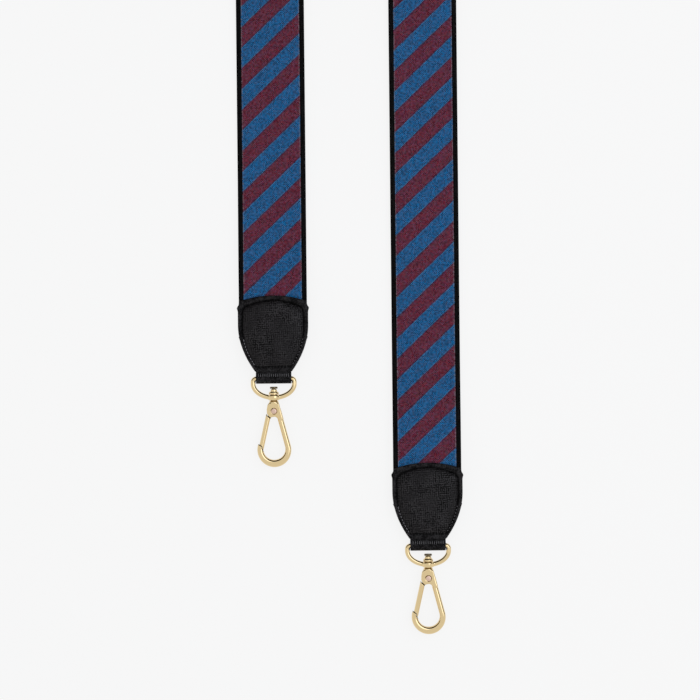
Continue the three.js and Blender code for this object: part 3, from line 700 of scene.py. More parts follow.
def grained_leather(name, base, uv=False, depth=0.0002, pitch=0.0012, shine=0.13):
    """Cross-grained leather: ridges in two directions, broken up by noise, over soft creases. The grooves
    are darker and duller than the ridges."""
    slant, wider = 0.05, 1.1
    material, tree, shader = new_material(name)
    vector = coordinates(tree, uv=uv)
    across, along, _ = axis_terms(tree, vector)
    wander = noise(tree, vector, 260.0, 3.0) * 5.0
    turns = 2 * math.pi / pitch
    ridge_one = ((across + along * slant) * turns + wander).math("SINE") * 0.5 + 0.5
    ridge_two = ((along - across * slant) * (turns / wider) + wander * 1.3).math("SINE") * 0.5 + 0.5
    patch = noise(tree, vector, 420.0, 3.0, 0.7).ramp(0.42, 0.58)
    weave = ridge_one + (ridge_two - ridge_one) * patch
    pores = noise(tree, vector, 1300.0, 3.0, 0.7)
    creases = noise(tree, vector, 140.0, 2.0)
    height = weave * 0.2 + pores * 0.8
    strong = noise(tree, vector, 95.0, 2.0).ramp(0.4, 0.6) * 0.75 + 0.35
    shade = ((height + creases * 0.2 - 0.6) * strong + 0.6).ramp(0.49, 0.73)
    shaded(tree, shader, shade, base, 0.2, 2.4)
    roughness, gloss = shade * -0.12 + 0.42, shade * (shine * 1.4) + shine * 0.3
    surfaced(tree, shader, roughness, gloss, height + creases * 0.6, depth)
    return material


def smooth_leather(name, base, shine=0.1):
    """Fine pored leather with a soft sheen."""
    material, tree, shader = new_material(name)
    vector = coordinates(tree)
    pores = noise(tree, vector, 1300.0, 3.0)
    creases = noise(tree, vector, 260.0, 2.0)
    height = pores * 0.6 + creases * 0.4
    shade = height.ramp(0.4, 0.62)
    shaded(tree, shader, shade, base, 0.4, 1.8)
    surfaced(tree, shader, pores * 0.2 + 0.35, shade * (shine * 1.4) + shine * 0.3, height, 0.0001)
    return material


def sewing_thread(name, base, shine=0.4):
    """Twisted thread: fine slanting grooves across it."""
    strand = 0.00022
    material, tree, shader = new_material(name)
    across, along, up = axis_terms(tree, coordinates(tree))
    twist = ((across + along + up * 0.7) * (2 * math.pi / strand)).math("SINE") * 0.5 + 0.5
    shaded(tree, shader, twist, base, 0.6, 1.6)
    surfaced(tree, shader, 0.4, shine, twist, 0.00003)
    return material


def polished_metal(name, base, roughness=0.06, ripple=0.000004):
    """Plated and polished casting: a mirror with a faint ripple and slightly uneven polish."""
    uneven = 0.06
    material, tree, shader = new_material(name)
    vector = coordinates(tree)
    wave = noise(tree, vector, 240.0, 1.0)
    wipe = noise(tree, vector, 1500.0, 3.0)
    shaded(tree, shader, wipe, base, 0.96, 1.03)
    shader.inputs["Metallic"].default_value = 1.0
    surfaced(tree, shader, wipe * uneven + (roughness - uneven / 2), 0.5, wave, ripple)
    return material


def soft_filler(name, base, scale):
    """Foam or board inside the tab."""
    material, tree, shader = new_material(name)
    cells = noise(tree, coordinates(tree), scale, 4.0)
    shaded(tree, shader, cells, base, 0.7, 1.3)
    surfaced(tree, shader, 0.9, 0.5, cells, 0.0001)
    return material


def shared(name, make, *values):
    """The material of that name, made the first time that it is asked for."""
    return bpy.data.materials.get(name) or make(name, *values)


def polished_gold(hook):
    """The bright metal of rings, hooks, gates and washers."""
    return shared("polished_gold", polished_metal, hook.gold)


def raw_casting(hook):
    """Painted shade: a dark, rough copy of the gold, put on the faces at the nose's notch and round the
    gate's root inside the slot, to stand in for the shade in those gaps.
    """
    return shared("raw_casting", polished_metal, scaled(hook.gold, 0.06), 0.4)


def rim_leather(tab):
    """The plain leather outside the tab's seam and of the loops."""
    return shared("edge_leather", smooth_leather, tab.edge_leather)


def black_thread(tab):
    """The black thread of all seams, where no lighter thread stands in as a painted highlight."""
    return shared("sewing_thread", sewing_thread, tab.thread, 0.06)


# THE BAND

def band_line(band, step=0.002):
    """Stations along the band's middle: the legs run straight along Y with their outer edge at one
    distance, turn about that edge by a quarter turn, and join in a half circle on edge. Returns centres,
    directions across and out, the length run from the left end, and the band's half width."""
    half_width = np.round((BAND_HIGH[2] - BAND_LOW[2]) / 2, 4)
    edge_radius = (BAND_HIGH[0] - BAND_LOW[0] - band.thickness) / 2
    arch_centre = BAND_HIGH[1] - edge_radius - band.thickness / 2
    twist_start = arch_centre - band.twist
    lines = []
    for side, bar in ((-1, BARS["left"]), (1, BARS["right"])):
        y = np.arange(bar[1] + band.end, arch_centre, step)
        turn = smooth((y - twist_start) / band.twist) * math.pi / 2
        height = bar[2] + (band.thickness / 2 - bar[2]) * smooth((y - bar[1] - band.drop_start) / band.drop)
        zero = np.zeros_like(y)
        across = np.stack([-side * np.cos(turn), zero, np.sin(turn)], -1)
        out = np.stack([side * np.sin(turn), zero, np.cos(turn)], -1)
        edge = np.stack([zero + side * edge_radius, y, height * np.cos(turn)], -1)
        lines.append([edge + half_width * across, across, out])
    turn = np.arange(0, math.pi + 1e-9, math.pi / round(math.pi * edge_radius / step))
    out = np.stack([-np.cos(turn), np.sin(turn), np.zeros_like(turn)], -1)
    centre = np.array([0, arch_centre, half_width]) + out * edge_radius
    arch = [centre, np.broadcast_to(UP, centre.shape), out]
    parts = [lines[0], arch, [part[::-1] for part in lines[1]]]
    centres, across, out = (np.concatenate([part[k] for part in parts]) for k in range(3))
    return centres, across, out, run_of(centres), half_width


def pattern_run(run, stripes):
    """Length along the woven pattern: the run, with the hidden extra added around its middle."""
    reach = 0.2
    return run + stripes.hidden_extra * smooth((run - run[-1] / 2) / reach + 0.5)


def mirrored_section(half):
    """A whole section from its right half, with extra points across its first and last face."""
    extra = 7
    span = np.linspace(-1, 1, extra + 2)[1:-1]
    first = np.stack([span * half[0, 0], np.full(extra, half[0, 1])], -1)
    last = np.stack([-span * half[-1, 0], np.full(extra, half[-1, 1])], -1)
    return np.concatenate([first, half, last, half[::-1] * [-1, 1]])


def section_run(section):
    """Length run round a closed section, from its first point to each point and back to the first."""
    return run_of(np.concatenate([section, section[:1]]))


class STRAP_OT_ribbon(bpy.types.Operator):
    """Weave the striped ribbon"""
    bl_idname = "strap.ribbon"
    bl_label = "Woven ribbon"

    def execute(self, context):
        dip, corner = 0.0003, 0.00018
        band, stripes = context.scene.strap_band, context.scene.strap_stripes
        centres, across, out, run, half_width = band_line(band)
        lip_start = half_width - band.lip_width
        back = -band.thickness / 2 + band.backing
        edge_top = band.thickness / 2 - band.lip_leather
        top = edge_top - dip + band.raise_step
        outer = half_width - band.backing
        rise = lip_start - PLAY
        section = mirrored_section(rounded_profile([
            [0, back], [outer, back], [outer, edge_top - PLAY], [rise, edge_top - PLAY],
            [rise - 2 * PLAY, top], [0, top]], corner)[1:-1])
        points, faces = swept(carried(section, centres, across, out))
        uv = swept_uv(np.append(section[:, 0], section[0, 0]), pattern_run(run, stripes))
        cloth = woven_cloth(stripes, lip_start)
        piece = new_piece("woven_ribbon", points, faces, "strap", cloth, uv)
        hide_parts("jacquard_ribbon")
        return {"FINISHED"}


class STRAP_OT_backing(bpy.types.Operator):
    """Fold the leather backing round the ribbon and sew its edges"""
    bl_idname = "strap.backing"
    bl_label = "Leather backing"

    def execute(self, context):
        corner = 0.00045
        band, tab = context.scene.strap_band, context.scene.strap_tab
        centres, across, out, run, half_width = band_line(band)
        face = band.thickness / 2
        lip_start = half_width - band.lip_width
        lip_under = face - band.lip_leather
        inner = half_width - band.backing + PLAY
        section = mirrored_section(rounded_profile([
            [0, -face], [half_width, -face], [half_width, face], [lip_start, face],
            [lip_start, lip_under], [inner, lip_under], [inner, -face + band.backing],
            [0, -face + band.backing]], corner)[1:-1])
        points, faces = swept(carried(section, centres, across, out))
        uv = swept_uv(section_run(section), run)
        leather = grained_leather("band_leather", tab.band_leather, uv=True, depth=0.00005, shine=0.035)
        piece = new_piece("backing_leather", points, faces, "strap", leather, uv)
        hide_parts("leather_backing")
        self.sew(band, tab, centres, across, out, half_width)
        return {"FINISHED"}

    def sew(self, band, tab, centres, across, out, half_width):
        """A row of stitches along each turned edge, on the front and on the back. The stations in the
        tabs have none."""
        inset, pitch, stitch, thickness, height = 0.0019, 0.0032, 0.0026, 0.00042, 0.0001
        sewn = slice(12, -12)
        seam = half_width - inset
        for face, name in ((1, "front"), (-1, "back")):
            rows = []
            for edge in (-1, 1):
                line = (centres + edge * seam * across + face * band.thickness / 2 * out)[sewn]
                rows.append((*evenly(line, pitch), unit(read_evenly(line, face * out[sewn], pitch))))
            place, along, up = (np.concatenate(part) for part in zip(*rows))
            points, faces = stitches(place, along, up, stitch, thickness, height)
            new_piece(
                f"edge_stitches_{name}", points, faces, "strap", black_thread(tab))


# THE TAB

def bezier(a, b, c, count):
    """Points on a quadratic curve from a towards b and on to c."""
    t = np.linspace(0, 1, count)[:, None]
    return (1 - t) ** 2 * np.array(a) + 2 * t * (1 - t) * np.array(b) + t ** 2 * np.array(c)


def top_arch(half, corner_y, peak_y, count):
    """The arched top edge: a circle through both corners and the peak, from its corner to its peak."""
    rise = peak_y - corner_y
    radius = (half * half + rise * rise) / (2 * rise)
    turn = np.linspace(math.asin(half / radius), 0, count)
    return np.stack([np.sin(turn) * radius, peak_y - radius + np.cos(turn) * radius], -1)


def whole_outline(right_half, count, soften):
    """A closed outline of evenly spaced points from its right half, whose corners are softened by
    moving each point towards its neighbours soften times."""
    same = 1e-7
    line = np.concatenate([right_half, right_half[-2::-1] * [-1, 1]])
    line = line[np.append(True, np.diff(run_of(line)) > same)]
    place, _ = evenly(line, section_run(line)[-1] / count, closed=True)
    for _ in range(soften):
        place = 0.5 * place + 0.25 * (np.roll(place, 1, 0) + np.roll(place, -1, 0))
    return place


def tab_outlines(tab, count=360):
    """The tab's edge, the seam line inside it reached along the same rays, and the middle that the rays
    start from."""
    narrower = 0.0006
    band_half = tab.half - narrower
    flare = bezier(
        [tab.neck_half, tab.neck_start],
        [tab.half, tab.neck_start + (tab.half - tab.neck_half) / tab.flare_slope],
        [tab.half, tab.neck_start + tab.flare], 60)
    edge = np.concatenate([
        [[0, tab.neck_start]], flare, [[tab.half, tab.side_end], [tab.ear_half, tab.ear_height],
        [band_half, tab.ear_end]], top_arch(band_half, tab.corner, tab.peak, 40)])
    edge = whole_outline(edge, count, soften=3)
    half = tab.half - tab.seam
    lower = tab.neck_half + (tab.lower_seam - tab.neck_start) * tab.flare_slope - tab.seam
    corner_y = tab.corner - tab.top_seam
    drawn = tab.top_seam * tab.field_corner / half
    flare = bezier(
        [lower, tab.lower_seam], [half, tab.lower_seam + (half - lower) / tab.flare_slope],
        [half, tab.neck_start + tab.flare], 60)
    corner = bezier(
        [half, corner_y - tab.field_corner], [half, corner_y],
        [half - tab.field_corner, corner_y + drawn], 20)
    field = np.concatenate([
        [[0, tab.lower_seam]], flare, corner,
        top_arch(half - tab.field_corner, corner_y + drawn, tab.peak - tab.top_seam, 30)[1:]])
    field = whole_outline(field, count, soften=4)
    middle = np.array([0, (tab.neck_start + tab.peak) / 2])
    ray = edge - middle
    turn = np.arctan2(ray[:, 1], ray[:, 0])
    reach = field - middle
    seam = np.interp(turn, np.arctan2(reach[:, 1], reach[:, 0]), np.hypot(*reach.T), period=2 * math.pi)
    field = middle + seam[:, None] * ray / np.linalg.norm(ray, axis=1)[:, None]
    return edge, field, middle


def layered(rings):
    """Points and faces of a panel from rings of points, closed by a point in the middle of each face."""
    return capped(np.stack(rings), rings[0].mean(0), rings[-1].mean(0))


def at_height(ring, z):
    """Points in space from points in a plane and one height, or one for each point."""
    return np.column_stack([ring, np.broadcast_to(z, len(ring))])


def groove_height(tab):
    """The floor of the seam groove round the field."""
    return TAB_LOW[2] + tab.front_leather - tab.groove


def across_neck(tab, places):
    """Whether each place on the seam line lies on its short stretch across the neck."""
    return places[:, 1] < tab.lower_seam + NECK_SEAM


def pad_height(tab, share, groove):
    """The padded field: groove + rise * (1 - share^3.3)^0.6, steep at the seam, nearly flat in the
    middle."""
    return groove + tab.rise * (1 - np.clip(share, 0, 1) ** 3.3) ** 0.6


def ripple(x, y):
    """Slow unevenness of stuffed leather, from -1 to 1."""
    a = np.sin(x * 420 + 1.3) * np.sin(y * 310 + 0.4)
    b = np.sin(x * 190 - y * 260 + 2.1)
    return 0.5 * a + 0.5 * b


class STRAP_OT_tab_fronts(bpy.types.Operator):
    """Shape the padded front leather of both tabs"""
    bl_idname = "strap.tab_fronts"
    bl_label = "Tab fronts"

    def execute(self, context):
        tab = context.scene.strap_tab
        leather = grained_leather("tab_leather", tab.leather, shine=0.19, depth=0.00028)
        # Painted shade: a near-black leather on the faces of the seam groove, standing in for the shade in
        # the groove.
        in_groove = smooth_leather("groove_leather", scaled(tab.band_leather, 1.6), 0.03)
        rings = self.rings(tab, context.scene.strap_band)
        points, faces = layered(rings)
        kind = np.zeros(sum(len(block) for block in faces))
        kind[:len(rings[0]) * (len(rings) - 1)] = self.materials(tab, rings).ravel()
        for side, bar in BARS.items():
            piece = new_piece(
                f"{side}_front_leather", points + bar, faces, "strap", leather, crease=50)
            dress_faces(piece, [rim_leather(tab), in_groove], kind)
            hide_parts(f"{side}_tab_front")
        return {"FINISHED"}

    def materials(self, tab, rings):
        """The material of each face between two rings: 0 on the field, 2 in the groove round it, but not
        across the neck, and 1 outside. Material 2 is a near-black painted shade."""
        before, after = 3, 4
        row = np.arange(len(rings) - 1)[:, None] - (len(rings) - FIELD_ROWS)
        in_groove = (row >= -before) & (row < after) & ~across_neck(tab, rings[-FIELD_ROWS])
        return np.where(in_groove, 2, row < after)

    def rings(self, tab, band):
        """Rings from the middle of the underside out to the edge, over the flange, down into the seam
        groove and up over the padded field. The flange thins out towards the neck."""
        thinned, thin_from, thin_over = 0.0005, 0.001, 0.004
        swell, pucker_depth, pucker_reach, unevenness = 0.00008, 0.00022, 0.055, 0.00006
        edge, field, middle = tab_outlines(tab)
        under = band.thickness / 2 + SKIN
        groove = groove_height(tab)
        top = TAB_LOW[2] + tab.front_leather
        skived = top - thinned * smooth((tab.lower_seam + thin_from - edge[:, 1]) / thin_over)
        run = section_run(edge)[:-1]
        pucker = 0.5 + 0.5 * np.cos(2 * math.pi * run / tab.stitch)
        rings = []
        for share in np.sin(np.linspace(0.04, 1, 14) * math.pi / 2):
            ring = middle + (field - middle) * share
            height = np.maximum(pad_height(tab, share, groove) - tab.front_leather, under)
            rings.append(at_height(ring, height))
        rings.append(at_height(edge + (field - edge) * 0.05, under))
        for turn in np.linspace(0, math.pi, 7):
            ring = edge + (field - edge) * RIM_SHARE * (1 - math.sin(turn))
            rings.append(at_height(ring, under + (skived - under) * 0.5 * (1 - math.cos(turn))))
        for share in np.linspace(0.2, 0.97, 12):
            dip = smooth((share - 0.55) / 0.4)
            height = skived - (skived - groove) * dip + swell * math.sin(math.pi * share)
            rings.append(at_height(edge + (field - edge) * share, height))
        for row, share in enumerate(np.sin(np.linspace(1, 0.03, FIELD_ROWS) * math.pi / 2)):
            ring = middle + (field - middle) * share
            height = pad_height(tab, share, groove)
            near_seam = np.exp(-((1 - share) / pucker_reach) ** 2)
            height = height - pucker_depth * near_seam * pucker * (row > 0)
            height = height + unevenness * ripple(*ring.T) * (1 - share ** 6)
            rings.append(at_height(ring, height))
        return rings


class STRAP_OT_tab_backs(bpy.types.Operator):
    """Cut the back leather and the padding of both tabs, and give their cores a board material"""
    bl_idname = "strap.tab_backs"
    bl_label = "Tab backs and fillings"

    def execute(self, context):
        tab = context.scene.strap_tab
        edge, field, middle = tab_outlines(tab)
        leather = smooth_leather("back_leather", tab.leather, 0.13)
        board = soft_filler("edge_board", (0.014, 0.013, 0.014), 900.0)
        foam = soft_filler("pad_foam", (0.1, 0.095, 0.09), 1400.0)
        face = context.scene.strap_band.thickness / 2
        back, back_faces = layered(self.back_rings(edge, field, middle, face))
        pad, pad_faces = layered(self.pad_rings(tab, field, middle, face))
        for side, bar in BARS.items():
            piece = new_piece(
                f"{side}_back_leather", back + bar, back_faces, "strap", leather)
            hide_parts(f"{side}_tab_back")
            piece = new_piece(f"{side}_foam_pad", pad + bar, pad_faces, "strap", foam)
            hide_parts(f"{side}_tab_padding")
            frame["nodes"][f"{side}_tab_core"].data.materials.clear()
            frame["nodes"][f"{side}_tab_core"].data.materials.append(board)
        return {"FINISHED"}

    def back_rings(self, edge, field, middle, face):
        """A flat panel with rounded edges and a shallow groove along its seam."""
        groove, groove_reach = 0.00022, 0.16
        low, high = BACK_LOW[2], -face - SKIN
        rings = [at_height(middle + (field - middle) * share, high) for share in (0.3, 0.7, 1)]
        for turn in np.linspace(0, math.pi, 7):
            ring = edge + (field - edge) * RIM_SHARE * (1 - math.sin(turn))
            rings.append(at_height(ring, high + (low - high) * 0.5 * (1 - math.cos(turn))))
        for share in np.linspace(0.2, 1.25, 14):
            dip = math.exp(-((share - 1) / groove_reach) ** 2)
            rings.append(at_height(edge + (field - edge) * share, low + groove * dip))
        for share in (0.8, 0.6, 0.35, 0.1):
            rings.append(at_height(middle + (field - middle) * share, low))
        return rings

    def pad_rings(self, tab, field, middle, face):
        """A domed pad under the field."""
        shares = np.sin(np.linspace(0.05, 0.62, 12) * math.pi / 2)
        under = [(share, face + 2 * PLAY) for share in shares]
        over = [
            (share, pad_height(tab, share, groove_height(tab)) - tab.front_leather - 2 * PLAY)
            for share in shares[::-1]]
        return [at_height(middle + (field - middle) * share, height) for share, height in under + over]


class STRAP_OT_ring_loops(bpy.types.Operator):
    """Fold the leather loops round the ring bars"""
    bl_idname = "strap.ring_loops"
    bl_label = "Ring loops"

    def execute(self, context):
        corner = 0.0005
        ring, leather = context.scene.strap_ring, rim_leather(context.scene.strap_tab)
        centres, out = self.path(ring)
        across = np.broadcast_to(np.array([1.0, 0, 0]), centres.shape)
        half_width = (LOOP_HIGH[0] - LOOP_LOW[0]) / 2
        half = ring.loop_leather / 2
        section = mirrored_section(rounded_profile([
            [0, -half], [half_width, -half], [half_width, half], [0, half]], corner)[1:-1])
        points, faces = swept(carried(section, centres, across, out))
        for side, bar in BARS.items():
            piece = new_piece(
                f"{side}_loop_leather", points + bar, faces, "strap", leather)
            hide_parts(f"{side}_ring_loop")
        return {"FINISHED"}

    def path(self, ring):
        """Two flat legs, drawn together above the bar, then tangents to a circle round the bar."""
        ease_reach = 0.0006
        fold = ring.wire / 2 + ring.fit + ring.loop_leather / 2
        leg = (ring.loop_gap + ring.loop_leather) / 2
        tangent = math.atan2(leg, ring.loop_mouth) + math.acos(fold / math.hypot(ring.loop_mouth, leg))
        turn = np.linspace(tangent, 2 * math.pi - tangent, 40)
        bend = np.stack([np.cos(turn) * fold, np.sin(turn) * fold], -1)
        mouth = np.array([ring.loop_mouth, leg])
        upper = np.linspace([LOOP_HIGH[1], leg], mouth + [ease_reach, 0], 12)
        ease = bezier(upper[-1], mouth, 0.5 * bend[0] + 0.5 * mouth, 6)
        first = np.concatenate([upper, ease[1:]])
        line = np.concatenate([first, bend, first[::-1] * [1, -1]])
        along = unit(np.gradient(line, axis=0))
        zero = np.zeros(len(line))
        centres = np.stack([zero, line[:, 0], line[:, 1]], -1)
        out = np.stack([zero, along[:, 1], -along[:, 0]], -1)
        return centres, out


class STRAP_OT_tab_seams(bpy.types.Operator):
    """Sew the seams of both tabs"""
    bl_idname = "strap.tab_seams"
    bl_label = "Tab seams"

    def execute(self, context):
        tab, ring = context.scene.strap_tab, context.scene.strap_ring
        black = black_thread(tab)
        # Painted highlights: pale and grey copies of the black thread, for light caught by the stitches.
        pale_highlight = sewing_thread("worn_thread", tab.worn_thread)
        grey = sewing_thread("grey_thread", tab.grey_thread)
        over_front, over_back = 0.00012, 0.0001
        for side, bar in BARS.items():
            self.seam(side, bar, tab, "front", groove_height(tab) + over_front, UP, black, pale_highlight, grey)
            self.seam(side, bar, tab, "back", BACK_LOW[2] + over_back, -UP, black, pale_highlight, grey)
            self.loop_row(side, bar, tab, ring, grey)
        return {"FINISHED"}

    def seam(self, side, bar, tab, face, z, out, black, pale_highlight, grey):
        """The seam round one face of a tab. On the front, the thread low down is drawn pale on the left and
        grey on the right, as painted highlights of the black thread. Across the neck the stitches are short
        and broad."""
        height, in_groove = 0.00012, 0.9
        edge, field, _ = tab_outlines(tab)
        place, along = evenly(edge + (field - edge) * in_groove, tab.stitch, closed=True)
        centres, along = at_height(place, z) + bar, at_height(along, 0)
        up = np.broadcast_to(out, centres.shape)
        neck = across_neck(tab, place)
        # The stretch low down on the front where the thread gets a painted highlight.
        highlit_stretch = (face == "front") & ~neck & (np.abs(place[:, 1] - tab.highlit_middle) < tab.highlit_reach)
        left, right = highlit_stretch & (place[:, 0] < 0), highlit_stretch & (place[:, 0] > 0)
        for part, chosen, thread, share, thickness in (
                ("", ~highlit_stretch & ~neck, black, 0.72, 0.0005), ("_rubbed", left, pale_highlight, 0.72, 0.0005),
                ("_grey", right, grey, 0.5, 0.0004), ("_neck", neck, black, 0.56, 0.0013)):
            if chosen.any():
                points, faces = stitches(
                    centres[chosen], along[chosen], up[chosen], tab.stitch * share, thickness, height)
                new_piece(f"{side}_seam_{face}{part}", points, faces, "strap", thread)

    def loop_row(self, side, bar, tab, ring, thread):
        """Short upright stitches across the loop, which hold it closed above the bar, in grey thread that
        is a painted highlight.
        """
        count, margin, above, on_fold = 15, 0.0018, 0.0021, 0.87
        stitch, thickness, height = 0.0020, 0.00036, 0.0001
        x = np.linspace(-1, 1, count) * (tab.neck_half - margin)
        fold = ring.wire / 2 + ring.fit + ring.loop_leather
        centres = np.stack([x, np.full(count, above), np.full(count, fold * on_fold)], -1) + bar
        along = unit(np.broadcast_to([0, 0.87, -0.45], centres.shape))
        up = unit(np.broadcast_to([0, 0.45, 0.87], centres.shape))
        points, faces = stitches(centres, along, up, stitch, thickness, height)
        new_piece(f"{side}_loop_stitches", points, faces, "strap", thread)


# THE RING AND THE SWIVEL

class STRAP_OT_rings(bpy.types.Operator):
    """Cast both D-rings with their hubs"""
    bl_idname = "strap.rings"
    bl_label = "D-rings"

    def execute(self, context):
        gold = polished_gold(context.scene.strap_hook)
        points, faces = casting(self.field(context.scene.strap_ring), RING_LOW, RING_HIGH)
        for side, bar in BARS.items():
            piece = new_piece(
                f"{side}_ring_casting", points + bar, faces, f"{side}_ring", gold)
            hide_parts(f"{side}_d_ring")
        return {"FINISHED"}

    def field(self, ring):
        """A round wire along the D, joined to a round hub with a fillet, with the swivel's bore cut out."""
        corner_x = ring.half - ring.corner
        drop = ring.corner + ring.side
        line = np.concatenate([
            arc([corner_x, -ring.corner], ring.corner, ring.corner, 90, 0, 12),
            arc([0, -drop], ring.half, ring.bow, 0, -180, 160),
            arc([-corner_x, -ring.corner], ring.corner, ring.corner, 180, 90, 12)])
        foot = -ring.hub_top - ring.hub_height
        outline = both_sides(rounded_profile([
            [0, foot], [ring.hub_foot, foot], [ring.hub, foot + 2 * ring.rim],
            [ring.hub, -ring.hub_top - ring.rim], [ring.hub - ring.rim, -ring.hub_top],
            [0, -ring.hub_top]], ring.rim / 2, 3))

        def field(x, y, z):
            flat = np.abs(outline_distance(x, y, line))
            wire = np.sqrt(flat ** 2 + z ** 2) - ring.wire / 2
            radius = np.sqrt(x ** 2 + z ** 2)
            hub = outline_distance(radius, y, outline)
            bore = slab(radius - ring.shank - ring.fit, y - foot, 2 * ring.hub_height, HOLE_EDGE)
            return cut(join(wire, hub, FILLET), bore, BORE_EDGE)

        return field


class STRAP_OT_swivels(bpy.types.Operator):
    """Turn the washers and caps of both swivels"""
    bl_idname = "strap.swivels"
    bl_label = "Swivel washers and caps"

    def execute(self, context):
        ring, hook = context.scene.strap_ring, context.scene.strap_hook
        gold = polished_gold(hook)
        # Painted reflection: the caps get a dark copy of the gold that stands in for dark surroundings
        # mirrored in their rims.
        cap_shade = polished_metal("dulled_gold", scaled(hook.gold, 0.2), 0.15)
        washer_top = -(ring.hub_top - ring.fit - ring.washer_height)
        washer_foot = washer_top - ring.washer_height
        bore = ring.shank + ring.fit
        foot = washer_top + ring.neck + ring.fit
        top = foot + ring.cap_height
        spigot = ring.spigot + ring.fit
        washer = rounded_profile([
            [bore, (washer_foot + washer_top) / 2], [bore, washer_foot],
            [ring.washer - ring.rim / 3, washer_foot], [ring.washer, washer_foot + ring.rim / 3],
            [ring.washer, washer_top - ring.rim],
            [ring.washer - ring.rim * 0.8, washer_top], [bore, washer_top],
            [bore, (washer_foot + washer_top) / 2]], ring.rim / 3)
        cap = rounded_profile([
            [0, foot + ring.spigot_height], [spigot, foot + ring.spigot_height], [spigot, foot],
            [ring.cap - ring.rim / 3, foot], [ring.cap, foot + ring.rim / 3],
            [ring.cap, top - ring.rim / 2], [ring.cap - ring.rim / 2, top], [0, top]], ring.rim / 4)
        for side, bar in BARS.items():
            for name, profile, metal in (("washer", washer[:-1], gold), ("cap", cap, cap_shade)):
                points, faces = turned(profile)
                piece = new_piece(
                    f"{side}_{name}_turning", points + bar, faces, f"{side}_hook", metal)
                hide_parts(f"{side}_swivel_{name}")
        return {"FINISHED"}


# THE HOOK

class HookPlan:
    """Where the hook's parts lie, from its sizes: y is 0 at the ring bar and negative below it."""

    def __init__(self, hook, ring):
        self.hook, self.ring = hook, ring
        self.pivot = np.array([0, -hook.pivot])
        self.bow = np.array([0, -hook.bow_drop])
        self.foot = self.bow + hook.bow * np.array([math.cos(hook.lean), math.sin(hook.lean)])
        self.outer = hook.gate_offset + hook.gate_width / 2
        self.inner = hook.gate_offset - hook.gate_width / 2
        self.end_slope = hook.gate_drop / (hook.gate_width - hook.tongue)
        self.collar_top = -(ring.hub_top + ring.hub_height + ring.fit)
        self.collar_foot = self.collar_top - hook.collar_height
        self.shank_top = -(ring.hub_top - ring.fit - ring.washer_height - ring.neck)

    def arm(self, y, side=0.0):
        """The middle of the straight arm at a height, or one of its sides there."""
        hook = self.hook
        middle = self.foot[0] - (y - self.foot[1]) * math.tan(hook.lean)
        return [middle + side * hook.arm_half / math.cos(hook.lean), y]

    def gate(self, down, left):
        """A place on the closed gate: down along it from the pivot, and left outwards."""
        lean = self.hook.gate_lean
        return [self.pivot[0] - math.sin(lean) * down - math.cos(lean) * left,
                self.pivot[1] - math.cos(lean) * down + math.sin(lean) * left]

    def side_angle(self, radius, left):
        """Where a radius about the pivot meets one side of the gate, in degrees."""
        return 270 - math.degrees(self.hook.gate_lean) - math.degrees(math.asin(left / radius))


